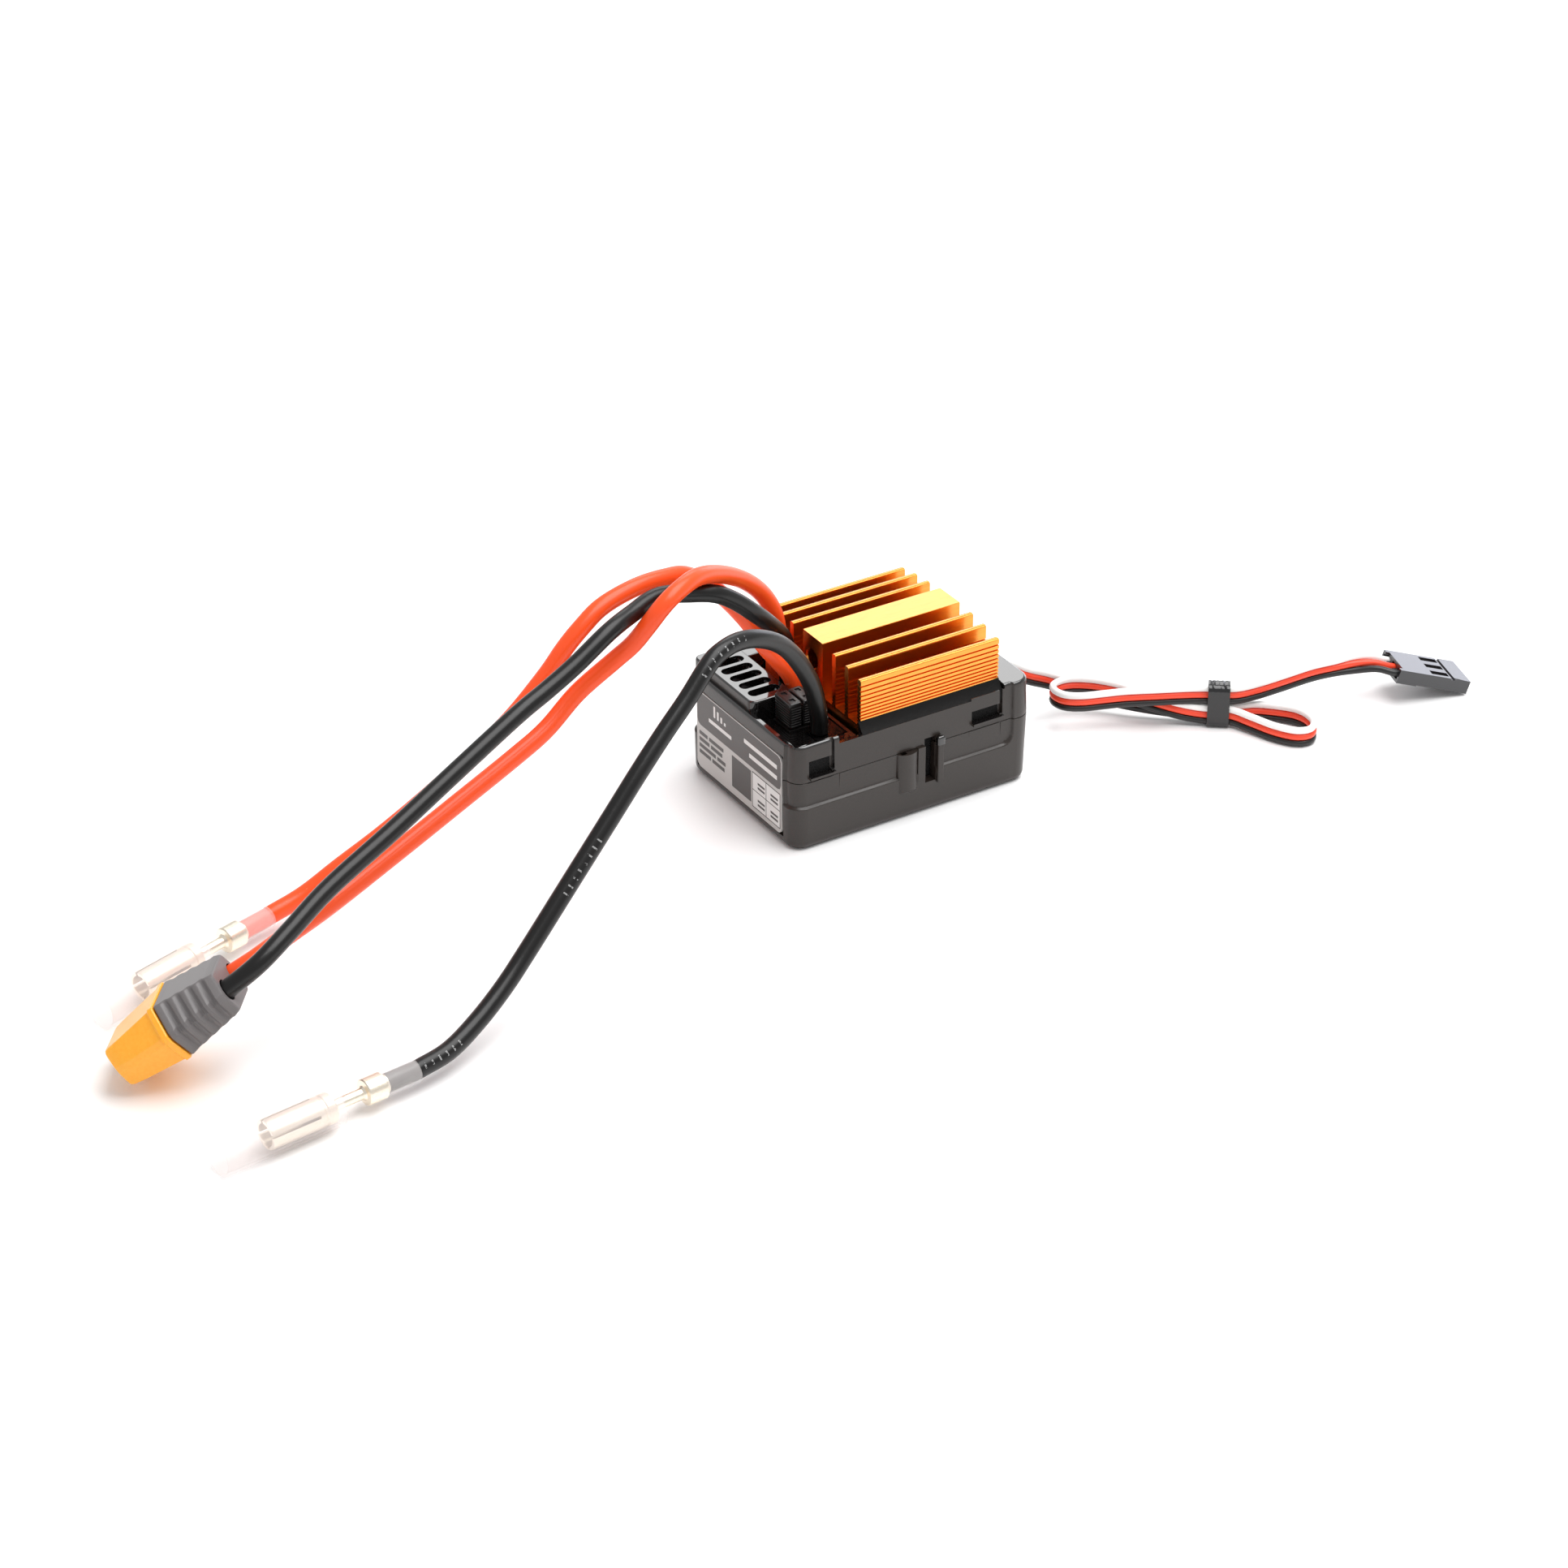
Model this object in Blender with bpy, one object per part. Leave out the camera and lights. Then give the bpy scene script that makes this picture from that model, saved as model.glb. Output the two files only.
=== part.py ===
"""Electronic speed controller: a finned drive unit with its wires, battery plug, motor bullets and lead.

Frame: origin on the floor under the middle of the case, +X towards the receiver lead, +Y to the
back, +Z up. Lengths are in millimetres.
"""

import math

import bmesh
import bpy
from mathutils import Matrix, Vector

MM = 0.001

# Case
CASE_LENGTH = 46.6
CASE_WIDTH = 33.7
CASE_DRAFT = 0.32
CORNER_RADIUS = 3.0
PARTING_Z = 12.5
COVER_TOP = 19.2
DECK_Z = 17.0
DECK_THICKNESS = 1.4
WALL = 1.6
FLOOR = 1.6
GAP = 0.3
LEDGE_Z = 8.0
PANEL_DEPTH = 0.45

# Heat sink
SINK_X = (-9.1, 17.65)
SINK_Y = (-14.5, 14.7)
SINK_BASE = (16.2, 18.6)
FIN_THICKNESS = 1.1
FINS = ((-14.5, 27.1), (-10.7, 27.8), (-6.9, 28.2), (6.0, 28.2), (9.8, 27.9), (13.6, 27.3))
BLOCK = (-2.9, 3.1, 28.5)
SCREW_Z = 24.2
SCREW_RADIUS = 1.65

# Board and what sits on it
BOARD_Z = (11.2, 12.8)
FET_Z = (13.1, 15.1)
PAD_Z = (15.4, 15.9)

# Jumpers
JUMPER_Y = -5.05
JUMPER_X = (-17.0, -14.4)
JUMPER_TOP = 22.0
JUMPER_BOTTOM = 17.5
PIN = 0.6
PIN_PITCH = 2.54

# Wires
POWER_WIRE = 3.0
LEAD_WIRE = 0.8
LEAD_PITCH = 1.05

# Motor bullets
BULLET_OD = 4.9
BULLET_BORE = 3.5
SLEEVE_OD = 6.6
SLEEVE_ID = 5.5
BULLET_1 = ((-105.2, -42.8, 3.4), (-0.9930, -0.1180, 0.0))
BULLET_2 = ((-105.5, 6.8, 3.4), (-0.9560, -0.2930, 0.0))

# Battery plug: middle of the wire face, then its axis and its wide direction
PLUG_AT = (-125.5, -24.0, 15.7)
PLUG_AXIS = (-0.748, 0.323, -0.578)
PLUG_WIDE = (-0.53, -0.82, 0.223)
BOOT_LENGTH = 9.8
PLUG_LENGTH = 20.5
PLUG_PITCH = 6.8

# Receiver plug: its middle, long axis and cross axis
RX_AT = (97.6, -28.2, 3.55)
RX_AXIS = (0.913, -0.262, -0.312)
RX_CROSS = (0.274, 0.962, 0.0)
RX_SIZE = (13.9, 7.62, 2.55)
RX_PITCH = 2.5

COLORS = {
    "case_plastic": (0.02, 0.02, 0.022, 1),
    "anodised_aluminium": (0.9, 0.33, 0.03, 1),
    "label_film": (0.45, 0.45, 0.44, 1),
    "potting_resin": (0.02, 0.02, 0.02, 1),
    "board_laminate": (0.02, 0.18, 0.07, 1),
    "chip_plastic": (0.03, 0.03, 0.035, 1),
    "silicone_red": (0.85, 0.08, 0.01, 1),
    "silicone_black": (0.03, 0.03, 0.03, 1),
    "silicone_white": (0.9, 0.9, 0.88, 1),
    "gold_brass": (0.9, 0.7, 0.4, 1),
    "clear_sleeve": (0.9, 0.9, 0.9, 1),
    "grey_rubber": (0.12, 0.12, 0.13, 1),
    "orange_nylon": (1.0, 0.35, 0.03, 1),
    "capacitor_can": (0.6, 0.6, 0.62, 1),
    "thermal_pad_grey": (0.4, 0.42, 0.45, 1),
    "led_lens": (0.8, 0.1, 0.05, 1),
    "tie_film": (0.03, 0.03, 0.035, 1),
}
METALS = {"anodised_aluminium", "gold_brass", "capacitor_can"}

for old in list(bpy.data.objects):
    bpy.data.objects.remove(old, do_unlink=True)


def material(name):
    found = bpy.data.materials.get(name)
    if found:
        return found
    made = bpy.data.materials.new(name)
    made.use_nodes = True
    shader = made.node_tree.nodes["Principled BSDF"]
    shader.inputs["Base Color"].default_value = COLORS[name]
    shader.inputs["Roughness"].default_value = 0.4
    shader.inputs["Metallic"].default_value = 1.0 if name in METALS else 0.0
    return made


def add(name, bm, slot=None, at=(0, 0, 0), turn=None):
    """A named object from a bmesh in millimetres. A cutter has no slot and stays out of renders."""
    bmesh.ops.recalc_face_normals(bm, faces=bm.faces)
    bmesh.ops.scale(bm, vec=(MM, MM, MM), verts=bm.verts)
    mesh = bpy.data.meshes.new(name)
    bm.to_mesh(mesh)
    bm.free()
    obj = bpy.data.objects.new(name, mesh)
    bpy.context.scene.collection.objects.link(obj)
    obj.matrix_world = Matrix.Translation(Vector(at) * MM) @ (turn.to_4x4() if turn else Matrix())
    if slot:
        mesh.materials.append(material(slot))
    else:
        obj.hide_render = True
        obj.display_type = "WIRE"
    return obj


def combine(obj, kind, other):
    modifier = obj.modifiers.new(kind.lower(), "BOOLEAN")
    modifier.operation = kind
    modifier.object = other
    modifier.solver = "EXACT"
    return modifier


def box_in(bm, x, y, z):
    corners = [bm.verts.new((a, b, c)) for c in z for b in y for a in x]
    for face in ((0, 2, 3, 1), (4, 5, 7, 6), (0, 1, 5, 4), (2, 6, 7, 3), (0, 4, 6, 2), (1, 3, 7, 5)):
        bm.faces.new([corners[i] for i in face])


def boxes(*ranges):
    bm = bmesh.new()
    for x, y, z in ranges:
        box_in(bm, x, y, z)
    return bm


def loft_in(bm, rings):
    """A closed solid through rings of points that match one another."""
    made = [[bm.verts.new(point) for point in ring] for ring in rings]
    count = len(made[0])
    for low, high in zip(made, made[1:]):
        for i in range(count):
            j = (i + 1) % count
            bm.faces.new((low[i], low[j], high[j], high[i]))
    bm.faces.new(list(reversed(made[0])))
    bm.faces.new(made[-1])


def loft(*rings):
    bm = bmesh.new()
    loft_in(bm, rings)
    return bm


def rounded(x, y, z, radius, steps=5):
    ring = []
    for sx, sy, start in ((1, 1, 0), (-1, 1, 90), (-1, -1, 180), (1, -1, 270)):
        cx = (x[1] if sx > 0 else x[0]) - sx * radius
        cy = (y[1] if sy > 0 else y[0]) - sy * radius
        for k in range(steps + 1):
            angle = math.radians(start + 90 * k / steps)
            ring.append((cx + radius * math.cos(angle), cy + radius * math.sin(angle), z))
    return ring


def case_ring(z, inset=0.0, radius=CORNER_RADIUS):
    """The case's outline at a height: it is widest at the parting line."""
    away = (PARTING_Z - z) / PARTING_Z if z < PARTING_Z else (z - PARTING_Z) / (COVER_TOP - PARTING_Z) * 0.6
    half_x = CASE_LENGTH / 2 - CASE_DRAFT * away - inset
    half_y = CASE_WIDTH / 2 - CASE_DRAFT * away - inset
    return rounded((-half_x, half_x), (-half_y, half_y), z, radius)


def lathe(profile, sides=16):
    """A closed turned solid along local +X, from (distance, radius) pairs.

    The profile of a hollow part ends where it began.
    """
    bm = bmesh.new()
    hollow = profile[0] == profile[-1]
    points = profile[:-1] if hollow else profile
    rings = []
    for s, r in points:
        if r == 0:
            rings.append([bm.verts.new((s, 0, 0))])
        else:
            angles = [2 * math.pi * k / sides for k in range(sides)]
            rings.append([bm.verts.new((s, r * math.cos(a), r * math.sin(a))) for a in angles])
    pairs = list(zip(rings, rings[1:])) + ([(rings[-1], rings[0])] if hollow else [])
    for a, b in pairs:
        for k in range(sides):
            m = (k + 1) % sides
            if len(a) == 1:
                bm.faces.new((a[0], b[k], b[m]))
            elif len(b) == 1:
                bm.faces.new((a[k], b[0], a[m]))
            else:
                bm.faces.new((a[k], b[k], b[m], a[m]))
    return bm


def frame_of(axis, cross):
    x = Vector(axis).normalized()
    y = Vector(cross)
    y = (y - x * x.dot(y)).normalized()
    return Matrix((x, y, x.cross(y))).transposed()


def place(at, turn, local):
    return Vector(at) + turn @ Vector(local)


def through(route, count):
    """Points evenly spaced along the smooth curve through the route."""
    fine = []
    points = [Vector(p) for p in route]
    points = [points[0] * 2 - points[1]] + points + [points[-1] * 2 - points[-2]]
    for p0, p1, p2, p3 in zip(points, points[1:], points[2:], points[3:]):
        for k in range(16):
            t = k / 16
            fine.append(
                0.5 * (2 * p1 + (p2 - p0) * t + (2 * p0 - 5 * p1 + 4 * p2 - p3) * t * t
                    + (3 * p1 - p0 - 3 * p2 + p3) * t ** 3))
    fine.append(points[-2])
    lengths = [0.0]
    for a, b in zip(fine, fine[1:]):
        lengths.append(lengths[-1] + (b - a).length)
    out, i = [], 0
    for k in range(count):
        want = lengths[-1] * k / (count - 1)
        while i < len(fine) - 2 and lengths[i + 1] < want:
            i += 1
        share = (want - lengths[i]) / (lengths[i + 1] - lengths[i])
        out.append(fine[i].lerp(fine[i + 1], min(max(share, 0), 1)))
    return out


def tube(name, points, diameter, slot):
    curve = bpy.data.curves.new(name, "CURVE")
    curve.dimensions = "3D"
    curve.bevel_depth = diameter / 2 * MM
    curve.bevel_resolution = 2
    curve.use_fill_caps = True
    spline = curve.splines.new("POLY")
    spline.points.add(len(points) - 1)
    for spot, point in zip(spline.points, points):
        spot.co = (*(point * MM), 1)
    curve.materials.append(material(slot))
    obj = bpy.data.objects.new(name, curve)
    bpy.context.scene.collection.objects.link(obj)
    return obj


# ---------------------------------------------------------------- base shell
shell = add(
    "base_shell",
    loft(
        case_ring(0.0, 1.0, 2.4), case_ring(0.45, 0.3, 2.8), case_ring(1.3), case_ring(PARTING_Z - GAP / 2),
        case_ring(PARTING_Z - GAP / 2, WALL, 1.6), case_ring(FLOOR, WALL + 0.2, 1.6),
    ),
    "case_plastic",
)
front = -CASE_WIDTH / 2
combine(shell, "UNION", add("cut_posts", boxes(
    ((-21.2, -17.8), (-14.9, -11.8), (1.2, 10.9)), ((17.8, 21.2), (-14.9, -11.8), (1.2, 10.9)),
    ((-21.2, -17.8), (11.8, 14.9), (1.2, 10.9)), ((17.8, 21.2), (11.8, 14.9), (1.2, 10.9)),
)))
# The band below the ledge stands proud, and runs up at the right end.
combine(shell, "DIFFERENCE",
    add("cut_panel", boxes(((-30, 19.3), (front - 3, front + PANEL_DEPTH), (LEDGE_Z, 14)))))
boss = bmesh.new()
loft_in(boss, [
    [(-1.2 + 2.0 * math.cos(a), -15.9 - 0.94 * math.sin(a), z)
        for a in [math.pi * k / 8 for k in range(9)]] + [(-3.2, -15.6, z), (0.8, -15.6, z)]
    for z in (5.5, PARTING_Z - GAP / 2)
])
combine(shell, "UNION", add("cut_boss", boss))
combine(shell, "UNION", add("cut_rib", boxes(((4.4, 5.5), (-16.84, -15.6), (5.3, PARTING_Z - GAP / 2)))))
combine(shell, "DIFFERENCE", add("cut_slots", boxes(
    ((2.1, 4.1), (-18, -16.0), (5.7, 14)),
    ((-23.8, -22.6), (-13.2, 13.9), (1.8, 14)),
    ((20, 25), (-0.95, 2.95), (9.9, 14)),
)))

# ---------------------------------------------------------------- top cover
cover = add(
    "top_cover",
    loft(case_ring(PARTING_Z + GAP / 2), case_ring(COVER_TOP - 0.5), case_ring(COVER_TOP, 0.35, 2.7)),
    "case_plastic",
)
combine(cover, "UNION", add("cut_grille_box", loft(
    rounded((-22.25, -14.3), (-2.2, 16.45), 16.0, 1.2, 3),
    rounded((-22.25, -14.3), (-2.2, 16.45), 20.7, 1.2, 3),
    rounded((-22.0, -14.55), (-1.95, 16.2), 21.0, 1.0, 3),
)))
combine(cover, "UNION", add("cut_bridge", boxes(((-15.0, -9.7), (11.6, 16.3), (16.0, 20.9)))))
combine(cover, "DIFFERENCE", add("cut_inside", loft(
    case_ring(10.0, WALL, 1.6), case_ring(DECK_Z - DECK_THICKNESS, WALL + 0.25, 1.6),
)))
combine(cover, "DIFFERENCE", add("cut_grille_inside", boxes(((-21.1, -15.5), (-1.0, 15.2), (15.0, 19.8)))))
slots = bmesh.new()
for k in range(6):
    y = 0.5 + 2.8 * k
    ends = []
    for cx, start in ((-16.35, -90), (-20.15, 90)):
        ends += [
            (cx + 0.95 * math.cos(math.radians(start + 36 * j)),
                y + 0.95 * math.sin(math.radians(start + 36 * j))) for j in range(6)]
    loft_in(slots, [[(a, b, z) for a, b in ends] for z in (19.0, 22.0)])
combine(cover, "DIFFERENCE", add("cut_grille_slots", slots))
# The sunken deck, the opening for the heat sink and the lower rim along the front.
combine(cover, "DIFFERENCE", add("cut_deck", loft(
    *[[(-22.0, -15.4, z), (-9.6, -15.4, z), (-9.6, 11.6, z), (-14.3, 11.6, z), (-14.3, -2.2, z),
        (-22.0, -2.2, z)] for z in (DECK_Z, 24)]
)))
combine(cover, "DIFFERENCE",
    add("cut_sink",
        boxes(((SINK_X[0] - 0.5, SINK_X[1] + 0.35), (SINK_Y[0] - 0.35, SINK_Y[1] + 0.35), (12, 24)))))
combine(cover, "DIFFERENCE", add("cut_rims", boxes(
    ((-14.3, 17.9), (-20, -14.6), (18.0, 24)), ((-8.9, 17.9), (14.9, 20), (18.2, 24)),
)))
combine(cover, "DIFFERENCE", add("cut_openings", boxes(
    ((-30, 19.3), (front - 3, front + PANEL_DEPTH), (10, 24)),
    ((-24.2, -22.6), (-13.2, 13.9), (12, 16.7)),
    ((20, 25), (-0.95, 2.95), (12, 15.2)),
    ((-18.7, -12.7), (-8.0, -2.35), (14, 18)),
)))
combine(cover, "DIFFERENCE", add("cut_wire_opening", loft(*[
    [(-16.2, -12.4, z), (-10.2, -12.4, z), (-10.2, 11.3, z), (-14.1, 11.3, z), (-14.1, -1.7, z),
        (-12.0, -1.7, z), (-12.0, -8.5, z), (-16.2, -8.5, z)] for z in (14, 18)
])))
combine(cover, "DIFFERENCE", add("cut_latches", boxes(
    ((-20.0, -15.7), (-20, -14.0), (13.5, 16.3)), ((11.4, 16.9), (-20, -14.0), (13.9, 16.0)),
    ((-20.0, -15.7), (14.0, 20), (13.5, 16.3)), ((11.4, 16.9), (14.0, 20), (13.9, 16.0)),
)))

# ---------------------------------------------------------------- heat sink
outline = [(SINK_Y[0], SINK_BASE[0])]
teeth = sorted([(y, y + FIN_THICKNESS, z) for y, z in FINS] + [BLOCK])
for k, (low, high, top) in enumerate(teeth):
    if k:
        outline.append((low, SINK_BASE[1]))
    tilt = 0.0 if top == BLOCK[2] else 0.12
    outline += [(low, top - (0.0 if low > 3 else tilt)), (high, top - (tilt if low > 3 else 0.0))]
    if k < len(teeth) - 1:
        outline.append((high, SINK_BASE[1]))
outline.append((SINK_Y[1], SINK_BASE[0]))
sink = add("heat_sink", loft(*[[(x, y, z) for y, z in outline] for x in SINK_X]), "anodised_aluminium")
bore = bmesh.new()
loft_in(bore,
    [[(x, 0.4 + SCREW_RADIUS * math.cos(2 * math.pi * k / 12),
        SCREW_Z + SCREW_RADIUS * math.sin(2 * math.pi * k / 12)) for k in range(12)]
        for x in (SINK_X[0] - 1, SINK_X[0] + 12)])
combine(sink, "DIFFERENCE", add("cut_screw_bore", bore))
combine(sink, "DIFFERENCE",
    add("cut_screw_slot", boxes(((SINK_X[0] - 1, SINK_X[0] + 12.5), (-0.1, 0.9), (21.3, SCREW_Z)))))

# ---------------------------------------------------------------- inside
add("circuit_board", boxes(((-21.1, 21.1), (-14.6, 14.6), BOARD_Z)), "board_laminate")
for k, (x, y) in enumerate(((-4.5, -7.5), (-4.5, 7.5), (11.5, -7.5), (11.5, 7.5))):
    add(f"mosfet_{k + 1}", boxes(((x - 3.2, x + 3.2), (y - 4.6, y + 4.6), FET_Z)), "chip_plastic")
add("thermal_pad", boxes(((-8.4, 16.8), (-13.6, 13.8), PAD_Z)), "thermal_pad_grey")
for k, y in enumerate((-0.6, 7.4)):
    add(f"capacitor_{k + 1}", lathe([(0, 0), (0, 2.3), (0.4, 2.6), (7.2, 2.6), (7.4, 2.2), (7.4, 0)], 14),
        "capacitor_can", (-18.3, y, 16.2), frame_of((0, 1, 0), (1, 0, 0)))
add("microcontroller", boxes(((-3.5, 3.5), (-3.5, 3.5), (9.7, 10.9))), "chip_plastic")
add("bec_regulator", boxes(((-13.6, -7.0), (-8.0, -1.9), (8.6, 10.9))), "chip_plastic")
add("bec_inductor",
    loft(rounded((8.0, 14.0), (2.0, 8.0), 7.9, 1.0, 3), rounded((8.0, 14.0), (2.0, 8.0), 10.9, 1.0, 3)),
    "chip_plastic")
add("status_led", boxes(((8.0, 9.6), (-9.4, -8.6), (10.1, 10.9))), "led_lens")
add("potting_compound", loft(*[
    [(-15.9, -12.1, z), (-10.5, -12.1, z), (-10.5, 11.0, z), (-13.8, 11.0, z), (-13.8, -1.4, z),
        (-11.7, -1.4, z), (-11.7, -8.8, z), (-15.9, -8.8, z)] for z in (14.9, DECK_Z - 0.1)
]), "potting_resin")

# ---------------------------------------------------------------- jumpers
header = add("jumper_header", boxes(((-18.4, -13.0), (-7.7, -2.65), (14.6, 17.2))), "case_plastic")
combine(header, "UNION", add("cut_pins", boxes(*[
    ((x - PIN / 2, x + PIN / 2), (y - PIN / 2, y + PIN / 2), (13.1, 21.0))
    for x in JUMPER_X for y in (JUMPER_Y - PIN_PITCH / 2, JUMPER_Y + PIN_PITCH / 2)
])))
for k, x in enumerate(JUMPER_X):
    height = JUMPER_TOP - JUMPER_BOTTOM
    cap = add(f"jumper_cap_{k + 1}", boxes(((-1.15, 1.15), (-2.45, 2.45), (0, height))), "case_plastic",
        (x, JUMPER_Y, JUMPER_BOTTOM))
    combine(cap, "DIFFERENCE", add(f"cut_cap_{k + 1}", boxes(*[
        ((-0.6, 0.6), (y - 0.6, y + 0.6), (-1, height - 0.7)) for y in (-PIN_PITCH / 2, PIN_PITCH / 2)
    ]), None, (x, JUMPER_Y, JUMPER_BOTTOM)))

# ---------------------------------------------------------------- label and grommet
add("rating_label", boxes(((-23.2, -22.85), (-13.0, 13.7), (2.0, 16.5))), "label_film")
add("lead_grommet", boxes(((21.9, 23.2), (-0.65, 2.65), (10.2, 14.9))), "case_plastic")

# ---------------------------------------------------------------- battery plug
plug_turn = frame_of(PLUG_AXIS, PLUG_WIDE)


def plug_ring(s, flat, ridge, thick):
    """A section of the plug: flat faces with bevelled narrow sides that meet in a ridge."""
    f, t = flat / 2, thick / 2
    return [(s, f, -t), (s, f + ridge, -0.6), (s, f + ridge, 0.6), (s, f, t), (s, -f, t),
        (s, -f - ridge, 0.6), (s, -f - ridge, -0.6), (s, -f, -t)]


rings = [plug_ring(0, 9.2, 1.4, 7.0)]
for k in range(4):
    s = 1.4 + 1.9 * k
    grow = s / BOOT_LENGTH
    flat, ridge, thick = 9.6 + 0.9 * grow, 1.5 + 1.0 * grow, 7.1 + 2.2 * grow
    rings += [plug_ring(s, flat, ridge, thick), plug_ring(s + 0.15, flat - 0.9, ridge, thick - 0.3),
        plug_ring(s + 0.75, flat - 0.9, ridge, thick - 0.3),
        plug_ring(s + 0.9, flat + 0.1, ridge + 0.1, thick + 0.2)]
rings.append(plug_ring(BOOT_LENGTH, 10.4, 2.4, 9.2))
boot = add("battery_plug_boot", loft(*rings), "grey_rubber", PLUG_AT, plug_turn)
holes = bmesh.new()
for side in (-1, 1):
    loft_in(holes,
        [[(s, side * PLUG_PITCH / 2 + 1.8 * math.cos(2 * math.pi * k / 12),
            1.8 * math.sin(2 * math.pi * k / 12)) for k in range(12)] for s in (-1, 4.5)])
combine(boot, "DIFFERENCE", add("cut_boot_holes", holes, None, PLUG_AT, plug_turn))
housing = add("battery_plug_housing", loft(
    plug_ring(BOOT_LENGTH + GAP, 11.0, 2.5, 9.6), plug_ring(BOOT_LENGTH + 1.3, 11.0, 2.5, 9.6),
    plug_ring(BOOT_LENGTH + 1.5, 10.6, 2.2, 9.0),
    plug_ring(PLUG_LENGTH - 3.0, 10.6, 1.5, 7.4), plug_ring(PLUG_LENGTH, 10.2, 0.9, 6.7),
), "orange_nylon", PLUG_AT, plug_turn)
sockets = bmesh.new()
for side in (-1, 1):
    loft_in(sockets,
        [[(s, side * PLUG_PITCH / 2 + 2.2 * math.cos(2 * math.pi * k / 14),
            2.2 * math.sin(2 * math.pi * k / 14)) for k in range(14)]
            for s in (BOOT_LENGTH + 1.6, PLUG_LENGTH + 1)])
combine(housing, "DIFFERENCE", add("cut_sockets", sockets, None, PLUG_AT, plug_turn))
for k, side in enumerate((-1, 1)):
    add(
        f"battery_contact_{k + 1}",
        lathe([(0, 0), (0, 1.85), (7.6, 1.85), (7.6, 1.2), (1.4, 1.2), (1.4, 0)], 12),
        "gold_brass", place(PLUG_AT, plug_turn, (BOOT_LENGTH + 2.0, side * PLUG_PITCH / 2, 0)), plug_turn,
    )

# ---------------------------------------------------------------- motor bullets and sleeves
for k, (at, axis) in enumerate((BULLET_1, BULLET_2)):
    turn = frame_of(axis, (0, 0, 1))
    add(f"motor_bullet_{k + 1}", lathe([
        (0.3, 0), (0.3, 1.65), (5.7, 1.65), (5.9, 2.0), (9.2, 2.0), (9.4, 0.9), (14.8, 0.9), (14.8, 2.1),
        (15.2, BULLET_OD / 2),
        (26.2, BULLET_OD / 2), (26.2, BULLET_BORE / 2), (16.6, BULLET_BORE / 2), (16.6, 0),
    ], 14), "gold_brass", at, turn)
    add(f"clear_sleeve_{k + 1}", lathe([
        (0, SLEEVE_OD / 2), (20.5, SLEEVE_OD / 2), (20.5, SLEEVE_ID / 2), (0, SLEEVE_ID / 2),
        (0, SLEEVE_OD / 2),
    ], 16), "clear_sleeve", place(at, turn, (14.0, 0, 0)), turn)

# ---------------------------------------------------------------- power wires
tube("motor_wire_black", through((
    (-14.2, -10.1, 17.3), (-14.5, -10.2, 21), (-16, -10.8, 26.5), (-18.8, -11.8, 31.7), (-22, -12.9, 36),
    (-25.5, -14.2, 39.1), (-29.8, -15.8, 41.6),
    (-33.7, -17.1, 42.8), (-37.2, -18.4, 42.9), (-40.2, -19.4, 41.9), (-45.3, -21.3, 38.1),
    (-50.5, -23.1, 34.6), (-56, -25.1, 30.7), (-62.3, -27.3, 25.8),
    (-71, -30.4, 19.2), (-81.4, -34.1, 11.3), (-87, -36.4, 7.8), (-93, -38.9, 5.2), (-99, -41.4, 3.8),
    (-105.1, -42.8, 3.4),
), 24), POWER_WIRE, "silicone_black")
tube("motor_wire_red", through((
    (-12.3, 0.6, 17.3), (-12.4, 0.7, 20.5), (-13.5, 0.9, 23), (-15.3, 1.5, 25.6), (-17, 2.8, 28.2),
    (-18.9, 5, 32.3), (-23.9, 6.2, 38.6), (-28.7, 6.8, 42.2), (-33.2, 5.9, 43.5),
    (-39.3, 4.8, 44), (-46, 3.7, 43), (-50.4, 2.8, 40.8), (-53.6, 2.7, 38), (-57, 2.9, 34),
    (-63.4, 3.4, 27.7), (-70.7, 4, 22.4), (-78, 4.7, 17.4),
    (-85.4, 5.7, 12.6), (-92.7, 6.6, 8.5), (-99, 7.2, 5), (-105.4, 6.8, 3.5),
), 24), POWER_WIRE, "silicone_red")
tube("battery_wire_black", through((
    (-11.5, 4.1, 17.3), (-11.4, 4, 21.5), (-12.6, 3.3, 27.3), (-16.4, 1.3, 32.1), (-20.4, 0.3, 36.2),
    (-24, 0.2, 39.4), (-27.5, 0.1, 41.6), (-31.3, 0.5, 42.6),
    (-37.9, 0.1, 44.1), (-43.9, -1.9, 43.6), (-49.5, -4.3, 43), (-56.5, -6.2, 40.2), (-62.5, -7.7, 38.2),
    (-69.2, -9.8, 36.6), (-82.1, -13.6, 32.4),
    (-94.8, -17.4, 28.2), (-107.3, -21.4, 24.7), (-116.1, -25.6, 22.3), (-122.4, -27.8, 19.9),
    (-127.3, -26.8, 16.5), (-129.5, -25.8, 14.7),
), 27), POWER_WIRE, "silicone_black")
tube("battery_wire_red", through((
    (-11.4, 8.4, 17.3), (-11.3, 8.3, 21.5), (-11, 8, 26.3), (-12.2, 7.7, 31), (-14.9, 7.2, 35.3),
    (-19.6, 5.2, 39.7), (-25.6, 2.1, 43.7), (-31.2, -1.1, 46.3),
    (-35.6, -3.6, 46.8), (-39.6, -5, 45.6), (-42.2, -4.2, 42.2), (-44.2, -2.6, 38.6), (-46.8, -1.4, 36),
    (-53.4, -0.9, 31.8), (-60, -2.5, 28), (-66.7, -4.6, 26.2),
    (-79.8, -8.3, 23.1), (-92.6, -12.1, 20.3), (-105.1, -16, 17.9), (-114.3, -19.4, 17.1),
    (-120, -21.7, 16.7), (-123.7, -21.2, 15), (-126, -20.2, 13.2),
), 27), POWER_WIRE, "silicone_red")

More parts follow.
